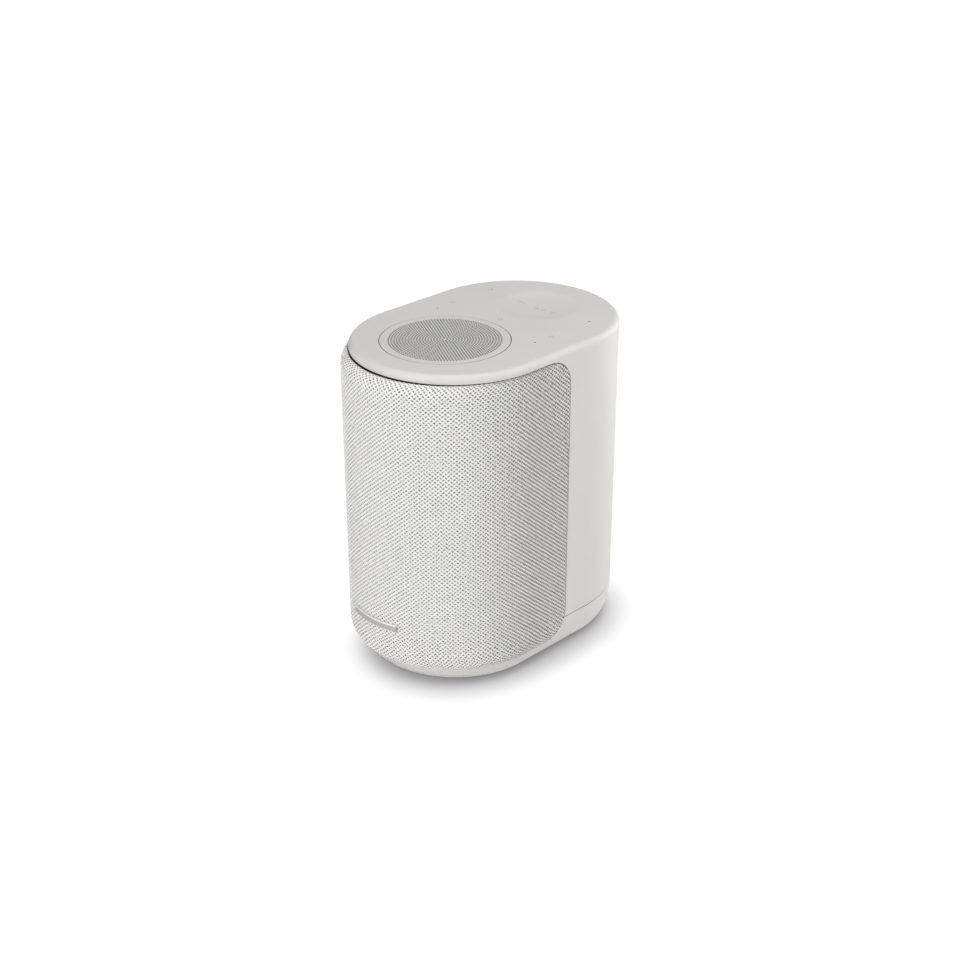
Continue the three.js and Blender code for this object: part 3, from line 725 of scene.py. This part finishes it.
# ------------------------------------------------------------------ casing
@dataclass
class TopShell:
    """The unibody top, sides and back, with the touch dish, pinholes and disc opening.

    Attributes:
        plan: The oval footprint.
        zone: The region that the grille takes.
        lower_edge: Height of the wall's lower edge.
        wall: Thickness of the wall.
        plate: Thickness of the top.
        fillet: Rounding of the top edge.
        flat_rim: Flat band between that rounding and the filled top.
        edge_break: Rounding of the lower edge.
        opening: Radius of the disc's opening.
        seat: Radius of the hole under the disc.
        seat_depth: Depth of the ledge that the disc sits on.
        disc_y: Middle of the disc.
        dish_y: Middle of the touch dish.
        dish_radius: Radius of the dish.
        dish_depth: Depth of the dish.
        dish_lip: Width of the flat lip that is meshed with the dish.
        dish_brow: Width of the soft turn from the top into the dish.
        dish_rings: Rings of faces down the dish.
        pinhole: Radius of a microphone's hole.
        pinhole_depth: Depth of a hole.
        microphones: Places of the four microphones' holes, in millimetres.
        light: Place of the light's hole, in millimetres.
    """

    plan: Plan
    zone: GrilleZone
    lower_edge: float = 20.45 * MM
    wall: float = 2.8 * MM
    plate: float = 3.2 * MM
    fillet: float = 3.5 * MM
    flat_rim: float = 0.8 * MM
    edge_break: float = 0.25 * MM
    opening: float = 35.42 * MM
    seat: float = 33 * MM
    seat_depth: float = 2.3 * MM
    disc_y: float = -31.1 * MM
    dish_y: float = 42 * MM
    dish_radius: float = 22.5 * MM
    dish_depth: float = 1.4 * MM
    dish_lip: float = 1.2 * MM
    dish_brow: float = 1.0 * MM
    dish_rings: int = 22
    pinhole: float = 0.6 * MM
    pinhole_depth: float = 1.8 * MM
    microphones: tuple[tuple[float, float], ...] = (
        (37.1, -1.0), (-37.1, -1.0), (37.1, 42.3), (-37.1, 42.3),
    )
    light: tuple[float, float] = (37.1, 18.2)

    def build(self) -> Object:
        """Builds the shell.

        Returns:
            The finished piece.
        """
        low, small = self.lower_edge, self.edge_break
        top, radius = self.plan.top, self.plan.radius
        inner, ceiling = radius - self.wall, top - self.plate
        shoulder = (radius - self.fillet, top - self.fillet)
        edge = quarter(shoulder, self.fillet, self.fillet, 0, 10)
        broken = quarter((radius - small, low + small), small, small, -90, 3)
        flat = (radius - self.fillet - self.flat_rim, top)
        bm = bmesh.new()
        self.plan.spin(bm, [(inner, ceiling), (inner, low), *broken, *edge, flat])
        self._fill_top(bm, top, ceiling)
        tidy_normals(bm)
        shell = to_object(bm, "top_back_moulding")
        carve(shell, [self.zone.cutter(GRILLE_CLEARANCE), self._inlet_cutter()])
        return settle(shell, CASING.material(), ["top_back_shell"])

    def build_meshes(self) -> Object:
        """Builds the dark acoustic meshes that show through the microphones' pinholes."""
        bm = bmesh.new()
        upper, thick = self.plan.top - 0.1 * MM, 1.2 * MM
        narrower = self.pinhole * 0.98  # clear of the hole's wall
        for x, y in self.microphones:
            spot = self.plan.point(x * MM, y * MM, upper - thick / 2)
            add_plug(bm, Matrix.Translation(spot), narrower, thick, PINHOLE_FACETS)
        meshes = to_object(bm, "microphone_meshes")
        return settle(meshes, SLOT_FINISHES["black_plastic"].material())

    def dish_sink(self, radius: float) -> float:
        """Returns the depth of the dish's bowl at a distance from its middle."""
        return self.dish_depth * (1 - min(radius / self.dish_radius, 1.0) ** 3)

    def _fill_top(self, bm: BMesh, top: float, ceiling: float) -> None:
        """Closes the top and the ceiling round the disc opening, the dish and the pinholes."""
        outer, under = rim(bm, top), rim(bm, ceiling)
        disc = self.plan.point(0, self.disc_y, top)
        opening = circle(bm, self.opening, disc, DISC_FACETS)
        dish = self.plan.point(0, self.dish_y, top)
        lip = circle(bm, self.dish_radius + self.dish_lip, dish, DISH_FACETS)
        spots = [
            self.plan.point(x * MM, y * MM, top) for x, y in (*self.microphones, self.light)
        ]
        pits = [circle(bm, self.pinhole, spot, PINHOLE_FACETS) for spot in spots]
        fill_flat(bm, [*outer, *opening, *lip, *(edge for pit in pits for edge in pit)])
        seat = top - self.seat_depth
        ledge = [(self.opening, seat), (self.seat, seat), (self.seat, ceiling)]
        fill_flat(bm, [*under, *draw_ring(bm, opening, disc, ledge)])
        bowl = draw_ring(bm, lip, dish, self._dish_stations(top))
        bmesh.ops.edgeloop_fill(bm, edges=bowl)
        for pit, spot in zip(pits, spots):
            floor = draw_ring(bm, pit, spot, [(self.pinhole, top - self.pinhole_depth)])
            bmesh.ops.edgeloop_fill(bm, edges=floor)

    def _dish_stations(self, top: float) -> list[tuple[float, float]]:
        """Returns the dish's rings: a flat lip, a soft brow and a shallow bowl."""
        lip_end, brow_start = self.dish_radius + 0.8 * MM, self.dish_radius + 0.4 * MM
        stations = [(lip_end, top)]
        for step in range(1, self.dish_rings + 1):
            # The last ring stops short of the middle and leaves a small flat face.
            radius = self.dish_radius * (1 - step / (self.dish_rings + 0.6))
            ease = min((brow_start - radius) / self.dish_brow, 1.0)
            smooth = ease * ease * (3 - 2 * ease)
            stations.append((radius, top - self.dish_sink(radius) * smooth))
        return stations

    def _inlet_cutter(self) -> BMesh:
        """Returns the block that opens the back wall for the mains inlet's flange."""
        low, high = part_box("inlet_socket")
        clearance, through, behind = 0.6 * MM, 30 * MM, 4 * MM
        bm = bmesh.new()
        centre = Vector(((low.x + high.x) / 2, high.y + behind, (low.z + high.z) / 2))
        add_block(
            bm, centre, (high.x - low.x + clearance, through, high.z - low.z + clearance)
        )
        round_edges(bm, [edge for edge in bm.edges if reaches(edge, 1, 1 * MM)], 1.6 * MM, 6)
        return bm


@dataclass
class BaseHousing:
    """The rounded base moulding and the rubber ring that it stands on.

    Attributes:
        plan: The oval footprint.
        zone: The region that the grille takes.
        parting: Height of the parting line.
        lift: Height of the base's underside.
        inset: How far the underside's edge lies inside the wall.
        wall: Thickness of the moulding.
        groove: Outer and inner radius of the foot's groove.
        groove_top: Height of the groove's ceiling.
        grille_depth: Depth of the recess behind the grille.
        grille_gap: Clearance round the grille.
        edge_break: Rounding of the upper edge.
        gap_shade: How far the dark ring's outer and inner faces lie inside the wall.
        gap_shade_heights: The dark ring's lower and upper faces above the parting line.
        foot_width: Width of the rubber ring.
        foot_round: Rounding of the ring where it meets the floor.
    """

    plan: Plan
    zone: GrilleZone
    parting: float = 20 * MM
    lift: float = 0.8 * MM
    inset: float = 7.4 * MM
    wall: float = 2.8 * MM
    groove: tuple[float, float] = (46.3 * MM, 37.7 * MM)
    groove_top: float = 2.3 * MM
    grille_depth: float = 4.5 * MM
    grille_gap: float = 0.3 * MM
    edge_break: float = 0.25 * MM
    gap_shade: tuple[float, float] = (0.3 * MM, 1.1 * MM)
    gap_shade_heights: tuple[float, float] = (0.02 * MM, 0.42 * MM)
    foot_width: float = 8 * MM
    foot_round: float = 0.5 * MM

    def build(self) -> list[Object]:
        """Builds the base, its foot and the dark ring of painted shade on its parting line.

        Returns:
            All three pieces.
        """
        return [self._build_base(), self._build_foot(), self._build_gap_shade()]

    def _build_base(self) -> Object:
        """Builds the bowl with its foot groove and the recess behind the grille."""
        radius, small = self.plan.radius, self.edge_break
        floor = self.lift + self.wall
        edge = (radius - self.inset, self.parting)
        outer = quarter(edge, self.inset, self.parting - self.lift, -90, 20)
        outer[-1] = (radius, self.parting - small)
        outer += quarter((radius - small, self.parting - small), small, small, 0, 3)[1:]
        edge = (radius - self.wall - self.inset, self.parting)
        inside = quarter(edge, self.inset, self.parting - floor, 0, 12)
        wide, narrow = self.groove
        profile = [
            (narrow, self.lift), (narrow, self.groove_top),
            (wide, self.groove_top), (wide, self.lift),
            *outer, *((r, 2 * self.parting - z) for r, z in inside),
        ]
        bm = bmesh.new()
        self.plan.spin(bm, profile)
        for edges in (rim(bm, self.lift), rim(bm, floor)):
            bmesh.ops.edgeloop_fill(bm, edges=edges)
        tidy_normals(bm)
        base = to_object(bm, "base_moulding")
        carve(base, [self._grille_recess()])
        return settle(base, CASING.material(), ["base_housing"])

    def _grille_recess(self) -> BMesh:
        """Returns the grille's zone with the body's core left out, as one closed cutter."""
        core = bmesh.new()
        low, high, radius = -10 * MM, 60 * MM, self.plan.radius - self.grille_depth
        self.plan.spin(core, [(radius, low), (radius, high)])
        for z in (low, high):
            bmesh.ops.edgeloop_fill(core, edges=rim(core, z))
        tidy_normals(core)
        behind = to_object(self.zone.cutter(self.grille_gap), "grille_recess")
        carve(behind, [core])
        recess = bmesh.new()
        recess.from_mesh(behind.data)
        bpy.data.objects.remove(behind)
        return recess

    def _build_foot(self) -> Object:
        """Builds the rubber ring, soft-edged where it meets the floor."""
        low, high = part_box("foot_pad")
        outer, soft = (high.x - low.x) / 2, self.foot_round
        inner = outer - self.foot_width
        profile = [
            (inner, high.z), (inner, soft), (inner + soft, 0.0),
            (outer - soft, 0.0), (outer, soft), (outer, high.z),
        ]
        bm = bmesh.new()
        self.plan.spin(bm, profile)
        bmesh.ops.bridge_loops(bm, edges=rim(bm, high.z))
        tidy_normals(bm)
        foot = to_object(bm, "rubber_foot_ring")
        return settle(foot, SLOT_FINISHES["rubber"].material(), ["foot_pad"])

    def _build_gap_shade(self) -> Object:
        """Builds a dark rubber ring set in the parting gap, painted shade that draws a fine dark
        line between the two mouldings.
        """
        outer, inner = (self.plan.radius - depth for depth in self.gap_shade)
        low, high = (self.parting + height for height in self.gap_shade_heights)
        bm = bmesh.new()
        self.plan.spin(bm, [(outer, high), (inner, high), (inner, low), (outer, low)])
        bmesh.ops.bridge_loops(bm, edges=[edge for edge in bm.edges if edge.is_boundary])
        tidy_normals(bm)
        gap_shade = to_object(bm, "parting_gap_shade")
        carve(gap_shade, [self.zone.cutter(GRILLE_CLEARANCE)])
        return settle(gap_shade, SLOT_FINISHES["rubber"].material())


# ------------------------------------------------------------------ front grille
@dataclass
class FrontGrille:
    """The woven cloth, stretched round the front and both sides, and its blank badge.

    Attributes:
        plan: The oval footprint.
        zone: The region that the cloth covers.
        bulge: How far the front tip stands past the plain oval.
        shoulder: Height of the rounding under the upper edge.
        tuck: Height of the longer rounding over the lower edge.
        column_pitch: Pore to pore, across.
        row_pitch: Pore to pore, up.
        shoulder_rows: Rows of the lattice in the shoulder.
        tuck_rows: Rows of the lattice in the tuck.
        lip_drop: Height of the turned-in lip.
        lip_swell: Share of the bulge that is left at the upper edge.
        bead: Radius of the roll at each edge.
        pore_depth: How far a pore sinks.
        yarn_rise: How far a yarn rises.
        middle_rise: Share of that rise at the middle of a lattice face.
        thickness: Thickness of the cloth.
        survey_steps: Steps in the table of arc lengths.
        badge_half_angle: Turn from the badge's middle to its end, in degrees.
        badge_stand: Thickness of the badge.
        badge_edge: Rounding of its edges.
        badge_cuts: Cuts along the bar, so that it follows the curve.
        path: (arc length, turn, run along the side), from the front tip to the rear edge.
    """

    plan: Plan
    zone: GrilleZone
    bulge: float = 7.5 * MM
    shoulder: float = 6 * MM
    tuck: float = 12 * MM
    column_pitch: float = 1.41 * MM
    row_pitch: float = 1.19 * MM
    shoulder_rows: int = 7
    tuck_rows: int = 13
    lip_drop: float = 2.4 * MM
    lip_swell: float = 0.22
    bead: float = 0.35 * MM
    pore_depth: float = 0.30 * MM
    yarn_rise: float = 0.12 * MM
    middle_rise: float = 0.6
    thickness: float = 0.5 * MM
    survey_steps: int = 400
    badge_half_angle: float = 17.0
    badge_stand: float = 1.25 * MM
    badge_edge: float = 0.7 * MM
    badge_cuts: int = 35
    path: list[tuple[float, float, float]] = field(default_factory=list)

    def build(self) -> list[Object]:
        """Builds the cloth and the badge.

        Returns:
            Both pieces.
        """
        self._survey()
        return [self._build_cloth(), self._build_badge()]

    def _survey(self) -> None:
        """Tabulates arc length along half of the outline, from the front tip to the rear edge."""
        length, last = 0.0, None
        for step in range(self.survey_steps + 1):
            turn = math.pi / 2 * step / self.survey_steps
            spot = self._surface_at(turn, 0.0, 1.0, 0.0)
            length += math.dist(spot, last) if last else 0.0
            last = spot
            self.path.append((length, turn, 0.0))
        side = self.zone.rear - self.plan.centre_y + self.plan.offset
        self.path.append((length + side, math.pi / 2, side))

    def _surface_at(
        self, turn: float, run: float, swell: float, inset: float
    ) -> tuple[float, float]:
        """Returns a place on the outline, from the middle of the oval.

        Args:
            turn: Turn from the front tip.
            run: Run along the side after a quarter turn.
            swell: Share of the bulge.
            inset: How far inside the outline the place lies.

        Returns:
            Its x and y.
        """
        reach = self.plan.radius - inset
        y = -self.plan.offset - (reach + self.bulge * swell) * math.cos(turn) + run
        return reach * math.sin(turn), y

    def _outline(self, distance: float) -> tuple[float, float]:
        """Returns the turn from the front tip and the run along the side at an arc length."""
        lengths = [row[0] for row in self.path]
        index = min(max(bisect_left(lengths, abs(distance)), 1), len(self.path) - 1)
        before, after = self.path[index - 1], self.path[index]
        share = (abs(distance) - before[0]) / (after[0] - before[0])
        turn = before[1] + (after[1] - before[1]) * share
        return math.copysign(turn, distance), before[2] + (after[2] - before[2]) * share

    def _stations(self) -> list[tuple[float, float, float]]:
        """Returns (height, swell, inset) of every row, from the lower lip to the upper lip."""
        low, high = self.zone.low, self.zone.high
        lower = self._roll(low, 1.0, self.tuck, self.tuck_rows, 0.0)
        upper = self._roll(high, -1.0, self.shoulder, self.shoulder_rows, self.lip_swell)
        span = high - self.shoulder - low - self.tuck
        rows = 2 * round(span / self.row_pitch / 2)
        wall = [(low + self.tuck + span * row / rows, 1.0, 0.0) for row in range(rows + 1)]
        return [*lower, *wall, *reversed(upper)]

    def _roll(
        self, edge: float, inward: float, rise: float, rows: int, swell: float
    ) -> list[tuple[float, float, float]]:
        """Returns the rows from a lip, over its bead, to the start of the cloth's plain wall.

        Args:
            edge: Height of the cloth's edge.
            inward: 1.0 where the cloth goes up from the edge, or -1.0 where it goes down.
            rise: Height of the rounding.
            rows: Rows in the rounding.
            swell: Share of the bulge left at the edge.

        Returns:
            (height, swell, inset) of each row.
        """
        # The edge rolls over a bead and back, which leaves a dark groove beside the casing.
        bead = self.bead
        roll = [
            (edge + inward * self.lip_drop, swell, 2 * bead),
            (edge + inward * bead, swell, 2 * bead),
            (edge, swell, bead),
        ]
        for row in range(rows):
            turn = math.pi / 2 * (1 - row / rows)
            share = swell + (1 - swell) * math.cos(turn)
            height = bead + (rise - bead) * (1 - math.sin(turn))
            roll.append((edge + inward * height, share, 0.0))
        return roll

    def _build_cloth(self) -> Object:
        """Builds the woven sheet: a grid on the outline, trimmed and given its relief."""
        half = self.path[-1][0]
        columns = 2 * round(half / self.column_pitch)
        stations = self._stations()
        rows = len(stations) - 1
        bm = bmesh.new()
        bm.loops.layers.uv.new("weave")
        pore = bm.verts.layers.float.new("pore")
        bmesh.ops.create_grid(bm, x_segments=columns, y_segments=rows, size=0.5, calc_uvs=True)
        for vert in bm.verts:
            column = round((vert.co.x + 0.5) * columns)
            row = round((vert.co.y + 0.5) * rows)
            vert[pore] = 1.0 if (column + row) % 2 == 0 else 0.0
            height, swell, inset = stations[row]
            turn, run = self._outline((column / columns * 2 - 1) * half)
            vert.co = self.plan.point(*self._surface_at(turn, run, swell, inset), height)
        self.zone.trim(bm)
        bmesh.ops.recalc_face_normals(bm, faces=bm.faces[:])
        front = min(bm.faces, key=lambda face: face.calc_center_median().y)
        if front.normal.y > 0:
            bmesh.ops.reverse_faces(bm, faces=bm.faces[:])
        self._weave(bm, pore)
        cloth = to_object(bm, "woven_grille_cloth")
        finish = WovenGrille(
            "polyester_off_white_woven", "#fcfbf9", "#d3d1cd", "#1b1a19", columns, rows
        )
        settle(cloth, finish.material(), ["grille_fabric"], sharp_degrees=75)
        return cloth

    def _weave(self, bm: BMesh, pore: BMLayerItem) -> None:
        """Thickens the sheet, and raises yarns and sinks pores on its outer side.

        Args:
            bm: The open sheet, whose faces look outwards.
            pore: The vertex layer that is 1 at a pore and 0 on a yarn.
        """
        bm.normal_update()
        outer = bm.faces[:]
        outward = [(vert, vert.normal.copy()) for vert in bm.verts]
        inner, backing = add_backing(bm, outer)
        for vert in inner:
            vert.co -= vert.normal * self.thickness
        bmesh.ops.reverse_faces(bm, faces=backing)
        middles = bmesh.ops.poke(bm, faces=outer)["verts"]
        for vert, normal in outward:
            sink = vert[pore]
            vert.co += normal * (self.yarn_rise * (1 - sink) - self.pore_depth * sink)
        bm.normal_update()
        for vert in middles:
            vert.co += vert.normal * self.yarn_rise * self.middle_rise
        bmesh.ops.recalc_face_normals(bm, faces=bm.faces[:])

    def _build_badge(self) -> Object:
        """Builds the plain bar along the front of the cloth, with a painted highlight on its upper
        edge.
        """
        low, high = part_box("badge_bar")
        middle = (low.z + high.z) / 2
        bm = bmesh.new()
        add_block(bm, Vector(), (1, self.badge_stand, high.z - low.z))
        bars = [edge for edge in bm.edges if reaches(edge, 0, 0.5)]
        bmesh.ops.subdivide_edges(bm, edges=bars, cuts=self.badge_cuts, use_grid_fill=True)
        for vert in bm.verts:
            turn = vert.co.x * 2 * math.radians(self.badge_half_angle)
            stand = self.badge_stand / 2 - vert.co.y
            x, y = self._surface_at(turn, 0.0, 1.0, -stand)
            vert.co = self.plan.point(x, y, middle + vert.co.z)
        tidy_normals(bm)
        sharp = [
            edge for edge in bm.edges
            if edge.is_manifold and edge.calc_face_angle(0) > math.radians(60)
        ]
        round_edges(bm, sharp, self.badge_edge, 2)
        badge = to_object(bm, "blank_badge_bar")
        settle(badge, BADGE.material(), ["badge_bar"])
        badge.data.materials.append(BADGE_HIGHLIGHT.material())
        # Every face that looks partly upwards gets the painted highlight.
        for face in badge.data.polygons:
            face.material_index = 1 if face.normal.z > 0.3 else 0
        return badge


# ------------------------------------------------------------------ top
@dataclass
class TopDisc:
    """The punched disc over the upward driver, with round holes on concentric rings.

    Attributes:
        plan: The oval footprint.
        centre_y: Middle of the disc.
        rings: Rings of holes round the middle.
        pitch: From ring to ring.
        hole: Radius of a hole.
        hole_facets: Facets round a hole.
        first_turn: Turn of each ring's first hole in degrees, which lines them up in rows.
        plate: Thickness of the steel.
        edge_gap: How far the steel stays inside the CAD disc's edge.
        scrim_gap: How far the scrim stays inside it.
        scrim_depth: Thickness of the scrim.
    """

    plan: Plan
    centre_y: float = -31.1 * MM
    rings: int = 20
    pitch: float = 1.505 * MM
    hole: float = 0.61 * MM
    hole_facets: int = 10
    first_turn: float = 30.0
    plate: float = 0.15 * MM
    edge_gap: float = 0.25 * MM
    scrim_gap: float = 0.4 * MM
    scrim_depth: float = 0.5 * MM

    def build(self) -> list[Object]:
        """Builds the disc and its scrim.

        Returns:
            Both pieces.
        """
        low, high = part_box("top_grille_disc")
        radius = (high.x - low.x) / 2
        bm = bmesh.new()
        centre = self.plan.point(0, self.centre_y, high.z)
        loops = circle(bm, radius - self.edge_gap, centre, DISC_FACETS)
        for ring in range(1, self.rings + 1):
            for index in range(6 * ring):
                angle = math.radians(self.first_turn + 60 * index / ring)
                out = Vector((math.cos(angle), math.sin(angle), 0)) * ring * self.pitch
                loops.extend(circle(bm, self.hole, centre + out, self.hole_facets))
        fill_flat(bm, loops)
        bm.normal_update()
        top_faces = bm.faces[:]
        if top_faces[0].normal.z < 0:
            bmesh.ops.reverse_faces(bm, faces=top_faces)
        under, _ = add_backing(bm, top_faces)
        bmesh.ops.translate(bm, vec=(0, 0, -self.plate), verts=under)
        bmesh.ops.recalc_face_normals(bm, faces=bm.faces[:])
        disc = to_object(bm, "punched_top_disc")
        settle(disc, DISC.material(), ["top_grille_disc"])
        return [disc, self._build_scrim(centre, radius - self.scrim_gap)]

    def _build_scrim(self, centre: Vector, radius: float) -> Object:
        """Builds the black scrim bonded under the plate, which makes every hole read dark."""
        bm = bmesh.new()
        spot = centre - Vector((0, 0, self.plate + self.scrim_depth / 2))
        add_plug(bm, Matrix.Translation(spot), radius, self.scrim_depth, DISC_FACETS)
        scrim = to_object(bm, "disc_scrim")
        return settle(scrim, SCRIM.material())


@dataclass
class TouchSymbols:
    """Pale printed symbols on the top: minus, play and plus in the dish, and three small marks.

    Places and sizes are in millimetres from the middle of the oval.

    Attributes:
        plan: The oval footprint.
        shell: The top shell, for the dish's place and depth.
        dish_bars: (x, y, width, length) of the minus, the plus in three pieces, and the pause.
        play: (x, y, radius) of the play triangle.
        marks: Middles of the three small marks.
        mark_bars: (x, width, length) of the bars of a mark.
        ink: Height of the print, in metres.
    """

    plan: Plan
    shell: TopShell
    dish_bars: tuple[tuple[float, float, float, float], ...] = (
        (-12.0, 41.0, 4.6, 0.8),
        (12.0, 41.0, 4.6, 0.8), (12.0, 39.65, 0.8, 1.9), (12.0, 42.35, 0.8, 1.9),
        (4.0, 40.0, 0.7, 3.4), (5.4, 40.0, 0.7, 3.4),
    )
    play: tuple[float, float, float] = (0.6, 40.0, 2.1)
    marks: tuple[tuple[float, float], ...] = ((37.9, 11.0), (-37.9, 11.5), (0.0, 11.0))
    mark_bars: tuple[tuple[float, float, float], ...] = (
        (0.0, 0.8, 3.6), (-1.4, 0.7, 1.8), (1.4, 0.7, 1.8),
    )
    ink: float = 0.03 * MM

    def build(self) -> Object:
        """Builds every symbol as one thin print.

        Returns:
            The finished piece.
        """
        bars = [
            *self.dish_bars,
            *((x + aside, y, wide, long) for x, y in self.marks
              for aside, wide, long in self.mark_bars),
        ]
        bm = bmesh.new()
        for x, y, wide, long in bars:
            size = (wide * MM, long * MM, 2 * self.ink)
            add_block(bm, self.plan.point(x * MM, y * MM), size)
        x, y, radius = self.play
        to_the_right = Matrix.Rotation(math.radians(-90), 4, "Z")
        place = Matrix.Translation(self.plan.point(x * MM, y * MM)) @ to_the_right
        add_plug(bm, place, radius * MM, 2 * self.ink, 3)
        for vert in bm.verts:
            y = vert.co.y - self.plan.centre_y - self.shell.dish_y
            vert.co.z += self.plan.top - self.shell.dish_sink(math.hypot(vert.co.x, y))
        bmesh.ops.recalc_face_normals(bm, faces=bm.faces[:])
        symbols = to_object(bm, "touch_symbols")
        return settle(symbols, PRINT.material())


# ------------------------------------------------------------------ inside
def dress_frame_nodes(nodes: dict[str, Object], record: dict) -> None:
    """Gives every CAD node that stays visible the finish of its slot.

    Args:
        nodes: The frame's nodes.
        record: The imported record.
    """
    for row in record["subparts"]:
        piece = nodes[row["node"]]
        if piece.hide_render:
            continue
        finish = SLOT_FINISHES[row["material_slot"]]
        piece.data.materials.clear()
        piece.data.materials.append(finish.material())
        LOG.info("%s: %s", piece.name, finish.name)


# ------------------------------------------------------------------ studio
@dataclass(frozen=True)
class Panel:
    """One square light panel that faces the object.

    Attributes:
        name: The lamp's name.
        azimuth: Bearing from the front, in degrees towards +X.
        elevation: Height above the horizon, in degrees.
        distance: Distance from the target.
        size: Side of the panel.
        power: Watts.
    """

    name: str
    azimuth: float
    elevation: float
    distance: float
    size: float
    power: float


@dataclass
class Studio:
    """A white floor with a soft painted contact shadow, light panels and the camera.

    Attributes:
        target: The point that the camera looks at.
        azimuth: The camera's bearing from the front, in degrees towards +X.
        elevation: Its height above the horizon, in degrees.
        distance: Its distance from the target.
        lens: Its focal length in millimetres.
        shift: Its sideways and upward shift.
        air: Strength of the light that comes from all round.
        white: Strength at which the camera sees the air and the clear floor as pure white.
        floor_drop: How far the floor lies below the foot, so their faces never coincide.
        contact_reach: How far from the object its shadow on the floor starts.
        contact_lean: The direction that the shadow looks for cover in.
        contact_range: Openness at which the shadow is darkest and where it ends.
        darkest: Strength of the floor at the shadow's darkest.
        panels: The light panels.
    """

    target: Vector
    azimuth: float = 44.5
    elevation: float = 26.17
    distance: float = 0.93669
    lens: float = 61.9
    shift: tuple[float, float] = (-0.0064, -0.0038)
    air: float = 0.04
    white: float = 1.03
    floor_drop: float = 0.1 * MM
    contact_reach: float = 32 * MM
    contact_lean: tuple[float, float, float] = (-0.35, 0.05, 1.0)
    contact_range: tuple[float, float] = (0.05, 0.84)
    darkest: float = 0.24
    panels: tuple[Panel, ...] = (
        Panel("key_panel", 0.0, 25.0, 1.6, 1.1, 11.4),
        Panel("key_turned_panel", 20.0, 25.0, 1.6, 1.1, 5.4),
        Panel("overhead_panel", 100.0, 80.0, 1.4, 1.2, 9.6),
        Panel("side_panel", 165.0, 14.0, 0.62, 0.4, 1.7),
        Panel("side_high_panel", 110.0, 40.0, 0.7, 0.4, 1.3),
        Panel("far_side_panel", 235.0, 6.0, 1.1, 0.5, 0.8),
    )

    def build(self) -> None:
        """Builds the floor, the lights, the world and the camera."""
        self._floor()
        self._world()
        for panel in self.panels:
            self._hang(panel)
        self._camera()
        view = bpy.context.scene.view_settings
        view.view_transform = "Standard"
        view.look = "None"

    def _bearing(self, azimuth: float, elevation: float) -> Vector:
        """Returns the unit direction from the target at a bearing and a height in degrees."""
        turn, rise = math.radians(azimuth), math.radians(elevation)
        flat = math.cos(rise)
        return Vector((math.sin(turn) * flat, -math.cos(turn) * flat, math.sin(rise)))

    def _floor(self) -> None:
        """Lays a wide white floor that the camera sees as white, with a painted shadow by the
        contact.
        """
        bm = bmesh.new()
        below = Matrix.Translation((0, 0, -self.floor_drop))
        bmesh.ops.create_grid(bm, x_segments=2, y_segments=2, size=8, matrix=below)
        floor = to_object(bm, "studio_floor")
        # Matte white paper that bounces light back as paper does; to the camera it glows plain
        # white, darkened by a painted contact shadow where the object covers it.
        made = blank_material("paper_white_painted_shadow")
        tree = made.node_tree
        lean = add_node(tree, "CombineXYZ", Vector(self.contact_lean).normalized()[:])
        cover = {"Distance": self.contact_reach, "Normal": lean}
        openness = add_node(tree, "AmbientOcclusion", cover, "AO", samples=32)
        levels = (openness, *self.contact_range, self.darkest, self.white)
        glow = add_node(tree, "MapRange", levels, **SMOOTH)
        seen = add_node(tree, "Emission", {"Strength": glow})
        bounce = add_node(tree, "BsdfDiffuse", {"Color": linear("#f8f8f8")})
        camera_ray = add_node(tree, "LightPath", output="Is Camera Ray")
        mixed = add_node(tree, "MixShader", (camera_ray, bounce, seen))
        add_node(tree, "OutputMaterial", (mixed,))
        floor.data.materials.append(made)

    def _world(self) -> None:
        """Surrounds the set with even air light that the camera sees as white."""
        world = bpy.data.worlds.new("studio_air")
        bpy.context.scene.world = world
        world.use_nodes = True
        tree = world.node_tree
        tree.nodes.clear()
        camera_ray = add_node(tree, "LightPath", output="Is Camera Ray")
        strength = add_node(tree, "MapRange", (camera_ray, 0.0, 1.0, self.air, self.white))
        white = (1.0, 1.0, 1.0, 1.0)
        air = add_node(tree, "Background", {"Color": white, "Strength": strength})
        add_node(tree, "OutputWorld", (air,))

    def _hang(self, panel: Panel) -> None:
        """Hangs one light panel."""
        light = bpy.data.lights.new(panel.name, "AREA")
        light.shape = "SQUARE"
        light.size = panel.size
        light.energy = panel.power
        lamp = bpy.data.objects.new(panel.name, light)
        self._aim(lamp, self._bearing(panel.azimuth, panel.elevation), panel.distance)

    def _camera(self) -> None:
        """Sets the camera on its bearing from the target."""
        data = bpy.data.cameras.new("studio_camera")
        data.lens = self.lens
        data.sensor_width = 36.0
        data.shift_x, data.shift_y = self.shift
        camera = bpy.data.objects.new("studio_camera", data)
        self._aim(camera, self._bearing(self.azimuth, self.elevation), self.distance)
        bpy.context.scene.camera = camera

    def _aim(self, thing: Object, bearing: Vector, distance: float) -> None:
        """Puts a lamp or the camera on a bearing from the target and turns it to face it."""
        thing.location = self.target + bearing * distance
        thing.rotation_euler = (-bearing).to_track_quat("-Z", "Y").to_euler()
        bpy.context.scene.collection.objects.link(thing)


def main() -> None:
    """Builds the speaker round its frame, piece by piece, and then the studio."""
    logging.basicConfig(level=logging.INFO, format="%(name)s %(message)s")
    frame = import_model()
    plan = Plan.from_frame()
    zone = GrilleZone.from_frame()
    shell = TopShell(plan, zone)
    shell.build()
    shell.build_meshes()
    BaseHousing(plan, zone).build()
    FrontGrille(plan, zone).build()
    TopDisc(plan).build()
    TouchSymbols(plan, shell).build()
    dress_frame_nodes(frame["nodes"], frame["record"])
    Studio(plan.point(0, 0, plan.top / 2)).build()


if __name__ == "__main__":
    main()
